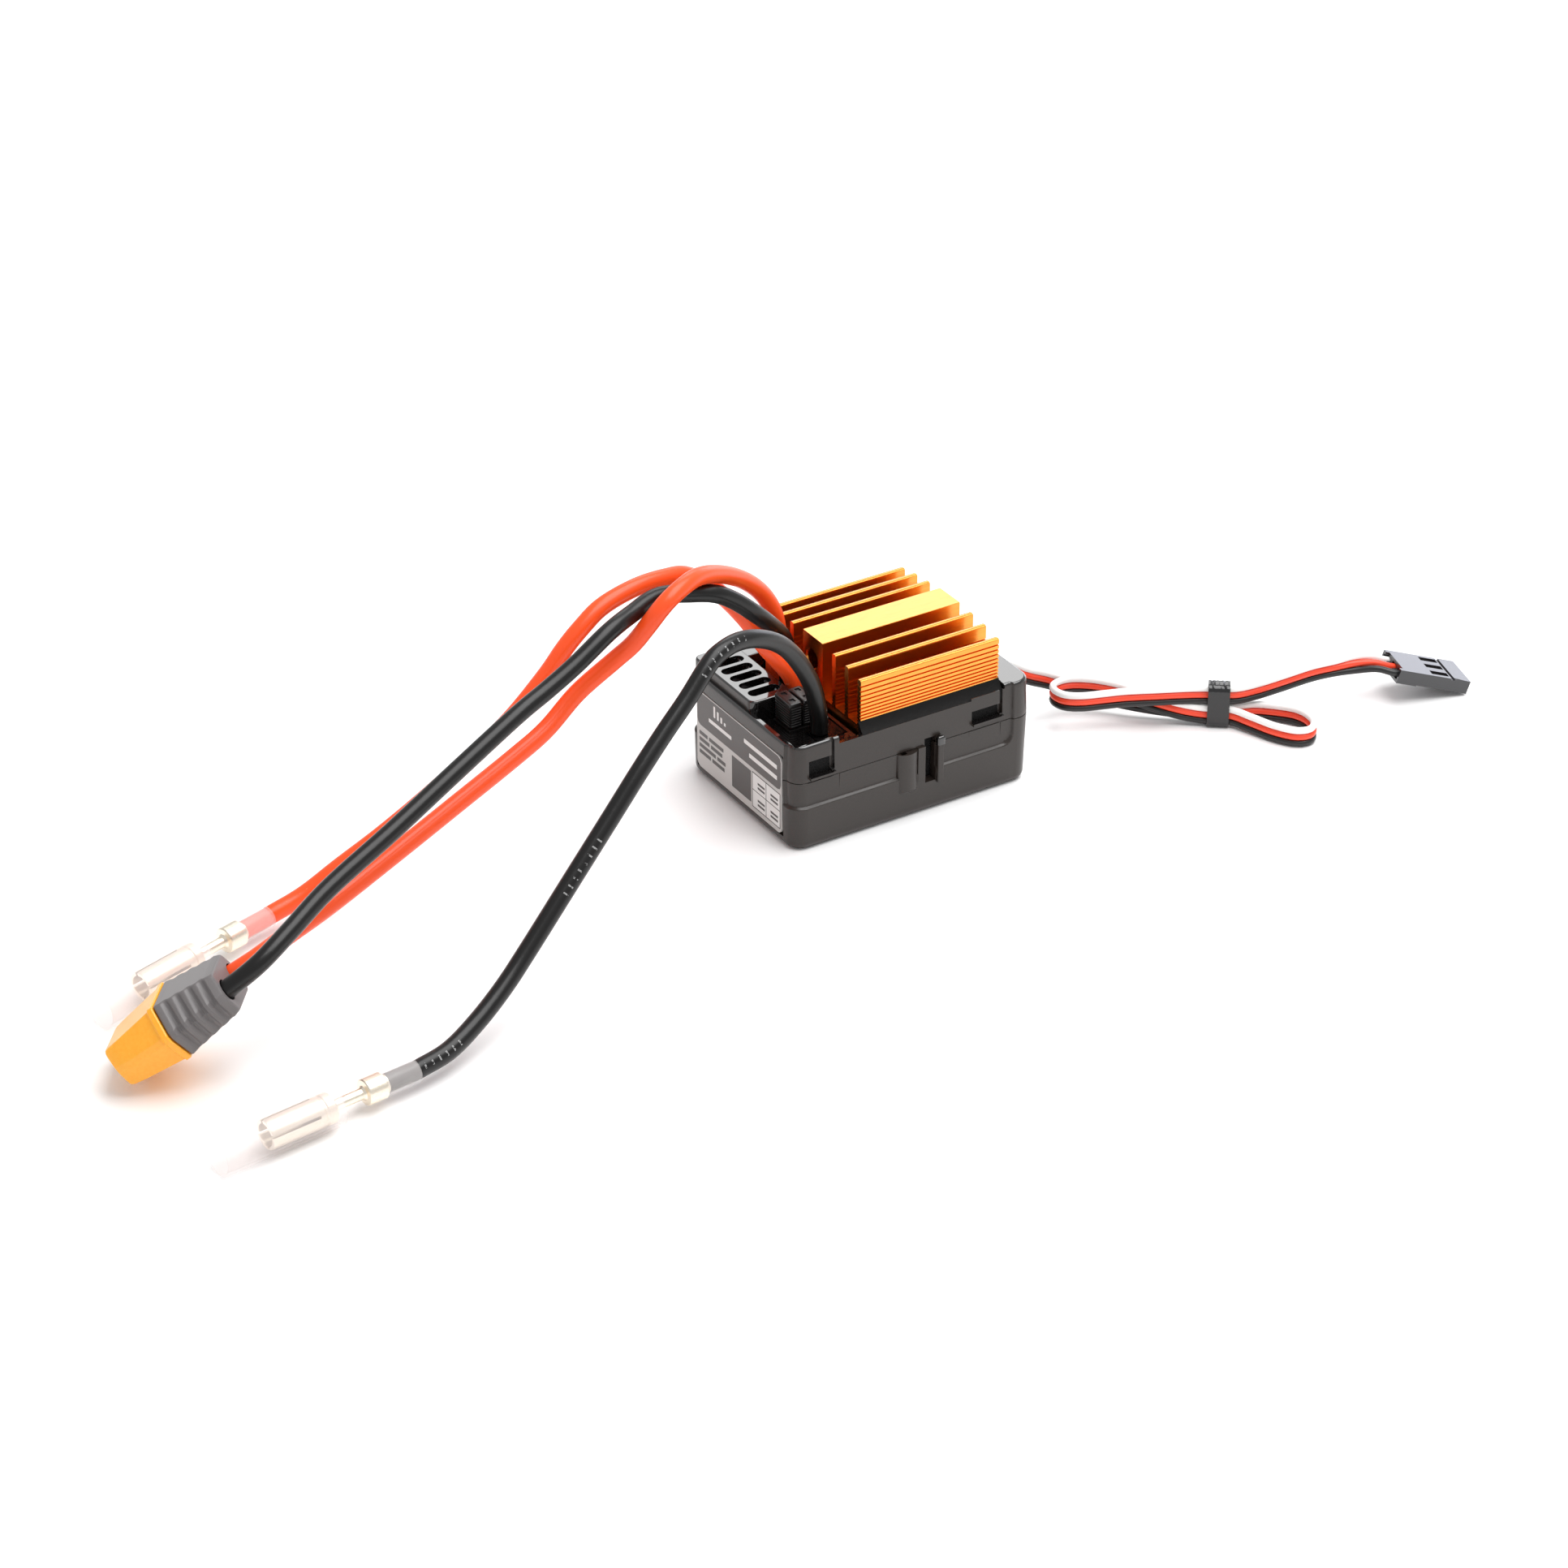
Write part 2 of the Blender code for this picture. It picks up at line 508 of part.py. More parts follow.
# ---------------------------------------------------------------- receiver plug
rx_turn = frame_of(RX_AXIS, RX_CROSS)
half = [v / 2 for v in RX_SIZE]
rx_housing = add("receiver_plug_housing",
    boxes(((-half[0], half[0]), (-half[1], half[1]), (-half[2], half[2]))), "case_plastic", RX_AT, rx_turn)
combine(rx_housing, "DIFFERENCE", add("cut_rx_cavities", boxes(*[
    ((-half[0] - 1, half[0] + 1), (y - 0.85, y + 0.85), (-0.75, 0.75)) for y in (-RX_PITCH, 0, RX_PITCH)
]), None, RX_AT, rx_turn))
combine(rx_housing, "DIFFERENCE", add("cut_rx_windows", boxes(*[
    ((-0.6, 3.0), (y - 0.6, y + 0.6), (0.4, 3)) for y in (-RX_PITCH, 0, RX_PITCH)
]), None, RX_AT, rx_turn))
for k in range(3):
    add(f"receiver_contact_{k + 1}", boxes(((-3.2, 5.6), (-0.5, 0.5), (-0.45, 0.45))), "gold_brass",
        place(RX_AT, rx_turn, (0, (k - 1) * RX_PITCH, 0)), rx_turn)

# ---------------------------------------------------------------- receiver lead
LEAD = (
    (23.5, 1, 12.55), (26.5, 0.9, 12.4), (30, 0.3, 10.9), (34, 0, 8.3), (38.2, -0.1, 6),
    (41.8, -1.8, 4.4), (45.8, -5, 3.3), (49.8, -9.2, 2.7),
    (54.4, -13.3, 2.2), (58.5, -16.8, 2.1), (62.8, -20, 2.1), (66.4, -21.2, 1.8), (69.4, -23.6, 1.7),
    (71.4, -26.2, 1.7), (71.9, -28.8, 1.7),
    (71.3, -31.1, 1.7), (69.4, -32.6, 1.7), (67, -31.8, 1.7), (64.9, -28.6, 1.7), (63.3, -24.4, 1.9),
    (61.6, -20.7, 2.1), (58.2, -18, 2.1),
    (55, -15.7, 2.6), (52, -13.4, 3.5), (49.1, -11, 4.5), (46.5, -8.5, 5.3), (43.6, -6, 5.8),
    (40.6, -4.1, 6), (38.2, -3.5, 6), (36.3, -4.1, 6),
    (35.6, -5.9, 6), (36.3, -8, 6), (38.6, -9.7, 6), (42.1, -11, 6), (45.8, -12.2, 6), (51, -14.4, 5.8),
    (55.2, -16.1, 5.5), (58.2, -17.6, 5.3),
    (62.4, -20.4, 5.3), (66, -21.4, 5.7), (71, -21.8, 6.1), (77.5, -21.9, 6.2), (82, -22.5, 6.3),
)
UPRIGHT = Vector((0, 0, LEAD_PITCH))
cross = rx_turn @ Vector((0, 1, 0))
for name, side in (("white", 1), ("red", 0), ("black", -1)):
    route = [Vector(p) + UPRIGHT * side for p in LEAD]
    route += [
        Vector((85.6, -23.6, 6.6)) + (UPRIGHT * 0.8 + cross * 0.7) * side,
        Vector((88.6, -25.1, 6.6)) + (UPRIGHT * 0.3 + cross * 1.6) * side,
        place(RX_AT, rx_turn, (-7.4, side * RX_PITCH, 0)),
        place(RX_AT, rx_turn, (-4.2, side * RX_PITCH, 0)),
    ]
    tube(f"lead_wire_{name}", through(route, 76), LEAD_WIRE, f"silicone_{name}")

# ---------------------------------------------------------------- lead tie
tie_turn = frame_of((0.8, -0.6, 0), (0.6, 0.8, 0))
tie = add("lead_tie", boxes(((-1.85, 1.85), (-1.75, 1.75), (0.05, 7.4))), "tie_film", (60.35, -18.85, 0),
    tie_turn)
combine(tie, "DIFFERENCE",
    add("cut_tie", boxes(((-4, 4), (-1.4, 1.4), (0.4, 7.05))), None, (60.35, -18.85, 0), tie_turn))
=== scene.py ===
import math

import bmesh
import bpy
from mathutils import Matrix, Vector


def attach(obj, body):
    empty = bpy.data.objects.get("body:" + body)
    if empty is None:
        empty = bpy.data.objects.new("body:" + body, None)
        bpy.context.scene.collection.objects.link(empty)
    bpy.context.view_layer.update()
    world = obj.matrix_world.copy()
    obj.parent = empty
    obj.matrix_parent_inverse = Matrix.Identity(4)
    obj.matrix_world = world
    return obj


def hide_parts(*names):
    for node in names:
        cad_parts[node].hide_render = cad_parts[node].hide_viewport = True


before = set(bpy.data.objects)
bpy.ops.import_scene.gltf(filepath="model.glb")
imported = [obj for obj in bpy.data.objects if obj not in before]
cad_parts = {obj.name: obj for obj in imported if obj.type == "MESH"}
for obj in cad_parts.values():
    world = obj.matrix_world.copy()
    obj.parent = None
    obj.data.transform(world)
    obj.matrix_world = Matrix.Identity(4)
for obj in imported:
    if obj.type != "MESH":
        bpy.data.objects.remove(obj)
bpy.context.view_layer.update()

# ------------------------------------------------------------------ the camera
# A long lens at table height, looking down on the near long side of the case
# with the receiver lead to the right and the battery plug at the lower left.
MM = 0.001


def put_in(name, data):
    """A new object in the scene."""
    obj = bpy.data.objects.new(name, data)
    bpy.context.scene.collection.objects.link(obj)
    return obj


camera_data = bpy.data.cameras.new("camera")
camera_data.sensor_width = 36.0
camera_data.lens = 96.09
camera = put_in("camera", camera_data)
camera.matrix_world = (
    Matrix.Translation((-0.3258, -0.5048, 0.3583))
    @ Matrix.Rotation(math.radians(-31.643), 4, "Z")
    @ Matrix.Rotation(math.radians(59.021), 4, "X")
    @ Matrix.Rotation(math.radians(-0.125), 4, "Z")
)
bpy.context.scene.camera = camera

# ------------------------------------------------------------------ the table and the light
# A white sweep in an even white tent. A wide softbox hangs overhead, and a small bright
# one stands behind, where the flat black tops mirror it.


def srgb(code):
    """A hex colour as the linear values that a shader takes."""
    parts = [int(code[i : i + 2], 16) / 255 for i in (0, 2, 4)]
    return (*[p / 12.92 if p <= 0.04045 else ((p + 0.055) / 1.055) ** 2.4 for p in parts], 1.0)


def add_node(tree, kind, settings=None, sockets=None):
    """Adds a node: settings are its attributes, and a socket takes a value or another node's output."""
    node = tree.nodes.new(kind)
    for name, value in (settings or {}).items():
        setattr(node, name, value)
    for name, value in (sockets or {}).items():
        if isinstance(value, bpy.types.NodeSocket):
            tree.links.new(value, node.inputs[name])
        else:
            node.inputs[name].default_value = value
    return node


def new_material(name, color, roughness, metallic=0.0, **sockets):
    """A Principled material. Extra sockets are given by name, with _ for a space."""
    material = bpy.data.materials.new(name)
    material.use_nodes = True
    shader = material.node_tree.nodes["Principled BSDF"]
    shader.inputs["Base Color"].default_value = srgb(color)
    shader.inputs["Roughness"].default_value = roughness
    shader.inputs["Metallic"].default_value = metallic
    for socket, value in sockets.items():
        shader.inputs[socket.replace("_", " ")].default_value = value
    return material


def grain(material, size_mm, height_mm, stretch=(1, 1, 1), detail=3.0):
    """Fine relief of a given grain size, on Object coordinates. Returns its 0 to 1 pattern."""
    tree = material.node_tree
    place = add_node(tree, "ShaderNodeTexCoord")
    turn = add_node(tree, "ShaderNodeMapping", None, {"Vector": place.outputs["Object"], "Scale": stretch})
    noise = add_node(
        tree, "ShaderNodeTexNoise", None,
        {"Vector": turn.outputs[0], "Scale": 1 / (size_mm * MM), "Detail": detail},
    )
    bump = add_node(
        tree, "ShaderNodeBump", None,
        {"Height": noise.outputs["Fac"], "Strength": 1.0, "Distance": height_mm * MM},
    )
    tree.links.new(bump.outputs[0], tree.nodes["Principled BSDF"].inputs["Normal"])
    return noise.outputs["Fac"]


def tint(material, pattern, low, high, start=0.35, end=0.65):
    """Colours a surface between two hex colours by a 0 to 1 pattern."""
    tree = material.node_tree
    ramp = add_node(tree, "ShaderNodeValToRGB", None, {"Fac": pattern})
    for stop, position, color in ((0, start, low), (1, end, high)):
        ramp.color_ramp.elements[stop].position = position
        ramp.color_ramp.elements[stop].color = srgb(color)
    tree.links.new(ramp.outputs[0], tree.nodes["Principled BSDF"].inputs["Base Color"])


floor_mesh = bpy.data.meshes.new("table")
floor_bm = bmesh.new()
bmesh.ops.create_grid(floor_bm, x_segments=1, y_segments=1, size=4)
floor_bm.to_mesh(floor_mesh)
floor_bm.free()
table = put_in("table", floor_mesh)
# Far from the panels the sweep glows a little, so it stays as white as it is near them.
white_sweep = new_material("white_paper_sweep", "FBFBFB", 0.6, Emission_Color=(1, 1, 1, 1))
paper_tree = white_sweep.node_tree
floor_place = add_node(paper_tree, "ShaderNodeTexCoord")
floor_reach = add_node(
    paper_tree, "ShaderNodeVectorMath", {"operation": "LENGTH"}, {0: floor_place.outputs["Object"]}
)
floor_glow = add_node(
    paper_tree, "ShaderNodeMapRange", None,
    {"Value": floor_reach.outputs["Value"], "From Min": 0.5, "From Max": 2.2, "To Max": 0.6},
)
paper_tree.links.new(floor_glow.outputs[0], paper_tree.nodes["Principled BSDF"].inputs["Emission Strength"])
floor_mesh.materials.append(white_sweep)

world = bpy.data.worlds.new("tent")
world.use_nodes = True
tent_tree = world.node_tree
tent_tree.nodes["Background"].inputs["Color"].default_value = srgb("FFFFFF")
# The tent lights the object less than it shows in the view.
ray_kind = add_node(tent_tree, "ShaderNodeLightPath")
tent_glow = add_node(
    tent_tree, "ShaderNodeMapRange", None,
    {"Value": ray_kind.outputs["Is Camera Ray"], "To Min": 0.52, "To Max": 0.9},
)
tent_tree.links.new(tent_glow.outputs[0], tent_tree.nodes["Background"].inputs["Strength"])
bpy.context.scene.world = world


def soft_panel(name, at, aim, size, watts, color="FFFFFF"):
    """A softbox at a place in metres, turned to face its aim."""
    data = bpy.data.lights.new(name, "AREA")
    data.shape = "RECTANGLE"
    data.size, data.size_y = size
    data.energy = watts
    data.color = srgb(color)[:3]
    facing = (Vector(aim) - Vector(at)).to_track_quat("-Z", "Y").to_matrix().to_4x4()
    put_in(name, data).matrix_world = Matrix.Translation(at) @ facing


soft_panel("softbox_overhead", (0.22, -0.12, 0.85), (0, 0, 0), (0.9, 0.7), 7.5)
soft_panel("softbox_behind", (0.568, 0.88, 0.608), (0, 0, 0.02), (0.5, 0.34), 1.1)
soft_panel("softbox_right", (1.1, 0.72, 0.26), (0.1, -0.03, 0), (0.6, 0.4), 1.3, "EEF1FF")
bpy.context.scene.view_settings.view_transform = "Standard"
bpy.context.scene.view_settings.exposure = 0.3

# ------------------------------------------------------------------ power wires
# Four stranded wires, 3 mm over soft silicone: two to the motor and two to the battery
# plug. They leave the potting side by side and arch up before they lie down to the left.
# Each sleeve is swept along its route, and carries rows of plain ticks in place of print.
WIRE = 3.0

motor_black_route = [
    (-14.2, -10.1, 17.3), (-14.5, -10.2, 21), (-16, -10.8, 26.5), (-18.8, -11.8, 31.7), (-22, -12.9, 36),
    (-25.5, -14.2, 39.1), (-29.8, -15.8, 41.6),
    (-33.7, -17.1, 42.8), (-37.2, -18.4, 42.9), (-40.2, -19.4, 41.9), (-45.3, -21.3, 38.1),
    (-50.5, -23.1, 34.6), (-56, -25.1, 30.7), (-62.3, -27.3, 25.8),
    (-71, -30.4, 19.2), (-81.4, -34.1, 11.3), (-87, -36.4, 7.8), (-93, -38.9, 5.2), (-99, -41.4, 3.8),
    (-105.1, -42.8, 3.4),
]
motor_red_route = [
    (-12.3, 0.6, 17.3), (-12.4, 0.7, 20.5), (-13.5, 0.9, 23), (-15.3, 1.5, 25.6), (-17, 2.8, 28.2),
    (-18.9, 5, 32.3), (-23.9, 6.2, 38.6), (-28.7, 6.8, 42.2), (-33.2, 5.9, 43.5),
    (-39.3, 4.8, 44), (-46, 3.7, 43), (-50.4, 2.8, 40.8), (-53.6, 2.7, 38), (-57, 2.9, 34),
    (-63.4, 3.4, 27.7), (-70.7, 4, 22.4), (-78, 4.7, 17.4),
    (-85.4, 5.7, 12.6), (-92.7, 6.6, 8.5), (-99, 7.2, 5), (-105.4, 6.8, 3.5),
]
battery_black_route = [
    (-11.5, 4.1, 17.3), (-11.4, 4, 21.5), (-12.6, 3.3, 27.3), (-16.4, 1.3, 32.1), (-20.4, 0.3, 36.2),
    (-24, 0.2, 39.4), (-27.5, 0.1, 41.6), (-31.3, 0.5, 42.6),
    (-37.9, 0.1, 44.1), (-43.9, -1.9, 43.6), (-49.5, -4.3, 43), (-56.5, -6.2, 40.2), (-62.5, -7.7, 38.2),
    (-69.2, -9.8, 36.6), (-82.1, -13.6, 32.4),
    (-94.8, -17.4, 28.2), (-107.3, -21.4, 24.7), (-116.1, -25.6, 22.3), (-122.4, -27.8, 19.9),
    (-127.3, -26.8, 16.5), (-129.5, -25.8, 14.7),
]
battery_red_route = [
    (-11.4, 8.4, 17.3), (-11.3, 8.3, 21.5), (-11, 8, 26.3), (-12.2, 7.7, 31), (-14.9, 7.2, 35.3),
    (-19.6, 5.2, 39.7), (-25.6, 2.1, 43.7), (-31.2, -1.1, 46.3),
    (-35.6, -3.6, 46.8), (-39.6, -5, 45.6), (-42.2, -4.2, 42.2), (-44.2, -2.6, 38.6), (-46.8, -1.4, 36),
    (-53.4, -0.9, 31.8), (-60, -2.5, 28), (-66.7, -4.6, 26.2),
    (-79.8, -8.3, 23.1), (-92.6, -12.1, 20.3), (-105.1, -16, 17.9), (-114.3, -19.4, 17.1),
    (-120, -21.7, 16.7), (-123.7, -21.2, 15), (-126, -20.2, 13.2),
]


def smooth_route(route, spacing):
    """Points in metres, evenly spaced along the smooth curve through a route in millimetres."""
    knots = [Vector(p) * MM for p in route]
    knots = [knots[0] * 2 - knots[1]] + knots + [knots[-1] * 2 - knots[-2]]
    fine = []
    for p0, p1, p2, p3 in zip(knots, knots[1:], knots[2:], knots[3:]):
        for k in range(16):
            t = k / 16
            fine.append(
                0.5 * (2 * p1 + (p2 - p0) * t + (2 * p0 - 5 * p1 + 4 * p2 - p3) * t * t
                    + (3 * p1 - p0 - 3 * p2 + p3) * t**3))
    fine.append(knots[-2])
    lengths = [0.0]
    for a, b in zip(fine, fine[1:]):
        lengths.append(lengths[-1] + (b - a).length)
    count = round(lengths[-1] / spacing)
    points, i = [], 0
    for k in range(count + 1):
        want = lengths[-1] * k / count
        while i < len(fine) - 2 and lengths[i + 1] < want:
            i += 1
        share = (want - lengths[i]) / (lengths[i + 1] - lengths[i])
        points.append(fine[i].lerp(fine[i + 1], min(max(share, 0.0), 1.0)))
    return points, lengths[-1]


def geometry_tree(name, sockets):
    """An empty Geometry Nodes tree with named inputs: (name, kind, default)."""
    tree = bpy.data.node_groups.new(name, "GeometryNodeTree")
    tree.interface.new_socket("Geometry", in_out="OUTPUT", socket_type="NodeSocketGeometry")
    tree.interface.new_socket("Geometry", in_out="INPUT", socket_type="NodeSocketGeometry")
    for label, kind, value in sockets:
        made = tree.interface.new_socket(label, in_out="INPUT", socket_type=kind)
        if value is not None:
            made.default_value = value
    return tree, tree.nodes.new("NodeGroupInput"), tree.nodes.new("NodeGroupOutput")


def run_tree(obj, tree, values):
    """Runs a tree on an object with its inputs set, and puts a plain mesh in the object's place."""
    modifier = obj.modifiers.new("nodes", "NODES")
    modifier.node_group = tree
    names = {item.name: item.identifier for item in tree.interface.items_tree if item.in_out == "INPUT"}
    for name, value in values.items():
        modifier[names[name]] = value
    return as_plain_mesh(obj)


def as_plain_mesh(obj, sharp_degrees=35):
    """The object with its modifiers taken into a plain mesh.

    Given an angle, it is shaded smooth between edges that are sharper than that.
    """
    bpy.context.view_layer.update()
    graph = bpy.context.evaluated_depsgraph_get()
    evaluated = obj.evaluated_get(graph)
    mesh = bpy.data.meshes.new_from_object(evaluated, preserve_all_data_layers=True, depsgraph=graph)
    name = obj.name
    bpy.data.objects.remove(obj)
    mesh.name = name
    plain = put_in(name, mesh)
    if sharp_degrees:
        mesh.shade_smooth()
        mesh.set_sharp_from_angle(angle=math.radians(sharp_degrees))
    return plain


sweep_tree, sweep_in, sweep_out = geometry_tree(
    "sleeve_along_route",
    (("Radius", "NodeSocketFloat", 0.0015), ("Sides", "NodeSocketInt", 20),
        ("Material", "NodeSocketMaterial", None)),
)
route_parameter = add_node(sweep_tree, "GeometryNodeSplineParameter")
along = add_node(sweep_tree, "GeometryNodeCaptureAttribute", None, {"Geometry": sweep_in.outputs["Geometry"]})
along.capture_items.new("FLOAT", "Length")
sweep_tree.links.new(route_parameter.outputs["Length"], along.inputs["Length"])
ring = add_node(
    sweep_tree, "GeometryNodeCurvePrimitiveCircle", None,
    {"Resolution": sweep_in.outputs["Sides"], "Radius": sweep_in.outputs["Radius"]},
)
around = add_node(sweep_tree, "GeometryNodeCaptureAttribute", None, {"Geometry": ring.outputs["Curve"]})
around.capture_items.new("FLOAT", "Turn")
sweep_tree.links.new(route_parameter.outputs["Factor"], around.inputs["Turn"])
swept = add_node(
    sweep_tree, "GeometryNodeCurveToMesh", None,
    {"Curve": along.outputs["Geometry"], "Profile Curve": around.outputs["Geometry"], "Fill Caps": True},
)
wrap_pair = add_node(
    sweep_tree, "ShaderNodeCombineXYZ", None, {"X": around.outputs["Turn"], "Y": along.outputs["Length"]}
)
wrapped = add_node(
    sweep_tree, "GeometryNodeStoreNamedAttribute", {"data_type": "FLOAT2", "domain": "CORNER"},
    {"Geometry": swept.outputs["Mesh"], "Name": "wrap", "Value": wrap_pair.outputs[0]},
)
realized = add_node(sweep_tree, "GeometryNodeRealizeInstances", None,
    {"Geometry": wrapped.outputs["Geometry"]})
painted = add_node(
    sweep_tree, "GeometryNodeSetMaterial", None,
    {"Geometry": realized.outputs["Geometry"], "Material": sweep_in.outputs["Material"]},
)
sweep_tree.links.new(painted.outputs[0], sweep_out.inputs[0])


def finish_piece(obj, node=None, body="case"):
    """The finished piece rides on its body, in place of its CAD node where it has one."""
    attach(obj, body)
    if node:
        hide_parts(node)
    return obj


def sweep_cord(name, node, route, diameter, material, slot, sides=20, spacing=0.0012, **facts):
    """One insulated wire along its route, in place of its CAD tube."""
    points, length = smooth_route(route, spacing)
    curve = bpy.data.curves.new(name, "CURVE")
    curve.dimensions = "3D"
    spline = curve.splines.new("POLY")
    spline.points.add(len(points) - 1)
    for spot, point in zip(spline.points, points):
        spot.co = (*point, 1)
    obj = run_tree(put_in(name, curve), sweep_tree,
        {"Radius": diameter / 2 * MM, "Sides": sides, "Material": material})
    finish_piece(obj, node)


# Silicone rubber: soft, even colour, a broad sheen and hardly any texture. The ticks are short
# dashes across the wire, in groups along one side, with some of each dash rubbed off.
TICK_REACH, GROUP_EVERY, GROUP_HALF = 0.05, 0.02, 0.0055
TICK_EVERY, TICK_HALF, RUBBED_BELOW = 0.0007, 0.00014, 0.48


def silicone(name, color, tick_color, turn_at):
    """Silicone with its row of ticks at a share of the way round the wire."""
    material = new_material(name, color, 0.3, IOR=1.43)
    tree = material.node_tree
    grain(material, 0.8, 0.012)
    spot = add_node(tree, "ShaderNodeUVMap", {"uv_map": "wrap"})
    parts = add_node(tree, "ShaderNodeSeparateXYZ", None, {"Vector": spot.outputs[0]})
    side = add_node(
        tree, "ShaderNodeMath", {"operation": "COMPARE"},
        {0: parts.outputs["X"], 1: turn_at, 2: TICK_REACH},
    )
    rows = []
    for every, half in ((GROUP_EVERY, GROUP_HALF), (TICK_EVERY, TICK_HALF)):
        wave = add_node(tree, "ShaderNodeMath", {"operation": "PINGPONG"}, {0: parts.outputs["Y"], 1: every})
        rows.append(
            add_node(tree, "ShaderNodeMath", {"operation": "LESS_THAN"}, {0: wave.outputs[0], 1: half}))
    place = add_node(tree, "ShaderNodeTexCoord")
    speck = add_node(tree, "ShaderNodeTexNoise", None, {"Vector": place.outputs["Object"], "Scale": 2600.0})
    kept = add_node(
        tree, "ShaderNodeMath", {"operation": "GREATER_THAN"}, {0: speck.outputs["Fac"], 1: RUBBED_BELOW}
    )
    ticks = side
    for test in (*rows, kept):
        ticks = add_node(
            tree, "ShaderNodeMath", {"operation": "MULTIPLY"}, {0: ticks.outputs[0], 1: test.outputs[0]}
        )
    mix = add_node(tree, "ShaderNodeMix", {"data_type": "RGBA"}, {"Factor": ticks.outputs[0]})
    mix.inputs[6].default_value = srgb(color)
    mix.inputs[7].default_value = srgb(tick_color)
    tree.links.new(mix.outputs[2], tree.nodes["Principled BSDF"].inputs["Base Color"])
    return material


red_silicone = silicone("red_silicone_rubber", "F9521F", "FF8A66", 0.6)
black_silicone = silicone("black_silicone_rubber", "0D0C0C", "8E8E8E", 0.62)

# ------------------------------------------------------------------ motor bullets
# Gold-plated brass sockets, turned from rod: a barrel soldered on the wire, a thin neck
# and a split body that springs on to the motor's pin.


def turned(name, profile, sides, at, axis, material, cross=(0, 0, 1)):
    """A turned piece along an axis, from (distance, radius) pairs.

    The profile of a hollow piece ends where it began.
    """
    bm = bmesh.new()
    hollow = profile[0] == profile[-1]
    points = profile[:-1] if hollow else profile
    rings = []
    for s, r in points:
        turns = [0] if r == 0 else [2 * math.pi * k / sides for k in range(sides)]
        rings.append([bm.verts.new((s, r * math.cos(a), r * math.sin(a))) for a in turns])
    for a, b in list(zip(rings, rings[1:])) + ([(rings[-1], rings[0])] if hollow else []):
        for k in range(sides):
            m = (k + 1) % sides
            corners = [a[k % len(a)], b[k % len(b)], b[m % len(b)], a[m % len(a)]]
            bm.faces.new(list(dict.fromkeys(corners)))
    return settle(name, bm, material, at=at, turn=axis_frame(axis, cross))


def axis_frame(axis, cross):
    """A turn whose X is the axis and whose Y leans as near to cross as it can."""
    x = Vector(axis).normalized()
    y = Vector(cross)
    y = (y - x * x.dot(y)).normalized()
    return Matrix((x, y, x.cross(y))).transposed()


def settle(name, bm, material=None, sharp_degrees=35, at=(0, 0, 0), turn=None):
    """An object from a bmesh in millimetres, with its place taken into the mesh."""
    bmesh.ops.recalc_face_normals(bm, faces=bm.faces)
    move = Matrix.Scale(MM, 4) @ Matrix.Translation(Vector(at)) @ (turn.to_4x4() if turn else Matrix())
    bmesh.ops.transform(bm, matrix=move, verts=bm.verts)
    mesh = bpy.data.meshes.new(name)
    bm.to_mesh(mesh)
    bm.free()
    obj = put_in(name, mesh)
    if material:
        mesh.materials.append(material)
    mesh.shade_smooth()
    mesh.set_sharp_from_angle(angle=math.radians(sharp_degrees))
    return obj


def cut_away(obj, cutters, bevel=0.0, sharp_degrees=35, union=()):
    """Adds and cuts solids, rounds the edges that are left, and keeps the result as a plain mesh."""
    for kind, others in (("UNION", union), ("DIFFERENCE", cutters)):
        for other in others:
            modifier = obj.modifiers.new("cut", "BOOLEAN")
            modifier.operation = kind
            modifier.object = other
            modifier.solver = "EXACT"
    if bevel:
        rounding = obj.modifiers.new("rounding", "BEVEL")
        rounding.width = bevel * MM
        rounding.segments = 2
        rounding.limit_method = "ANGLE"
        rounding.angle_limit = math.radians(38)
        rounding.use_clamp_overlap = True
    plain = as_plain_mesh(obj, sharp_degrees)
    for other in (*cutters, *union):
        bpy.data.objects.remove(other)
    flat = plain.modifiers.new("flat_faces", "WEIGHTED_NORMAL")
    flat.keep_sharp = True
    return as_plain_mesh(plain, None)


plated_brass = new_material("gold_plated_brass", "F8EEDD", 0.32, 1.0)
tint(plated_brass, grain(plated_brass, 0.35, 0.006, (1, 6, 6)), "F2E4CC", "FCF5E9")

milky_tube = new_material("milky_shrink_tube", "F4EEEC", 0.2, Alpha=0.2)
grain(milky_tube, 1.5, 0.02)

BULLET_SHAPE = [
    (5.4, 0), (5.4, 1.5), (5.9, 1.55), (6.0, 1.95), (6.1, 2.1), (9.0, 2.1), (9.2, 1.95), (9.3, 1.2),
    (9.7, 0.9), (14.5, 0.9), (14.7, 1.1), (14.8, 2.0), (15.1, 2.4), (15.4, 2.45), (16.4, 2.45),
    (16.6, 2.3), (16.9, 2.3), (17.1, 2.45), (25.9, 2.42), (26.2, 2.3), (26.2, 1.85), (25.9, 1.75),
    (16.6, 1.75), (16.4, 0),
]
WIRE_END_SHAPE = [(-0.3, 0), (-0.3, 1.4), (-0.2, 1.47), (5.5, 1.47), (5.6, 0)]
SHRINK_SHAPE = [
    (0.0, 1.56), (0.0, 1.85), (0.2, 1.9), (5.6, 1.9), (5.85, 1.82), (5.85, 1.6), (5.6, 1.56), (0.0, 1.56),
]
SLIT_MIDDLE, SLIT_SIZE, SLIT_TURNS = 24, (12, 0.45, 9, 1), (20, 110)
bullets = (
    ((-105.2, -42.8, 3.4), (-0.9930, -0.1180, 0.0), black_silicone, "silicone_black"),
    ((-105.5, 6.8, 3.4), (-0.9560, -0.2930, 0.0), red_silicone, "silicone_red"),
)
bullet_pieces = []
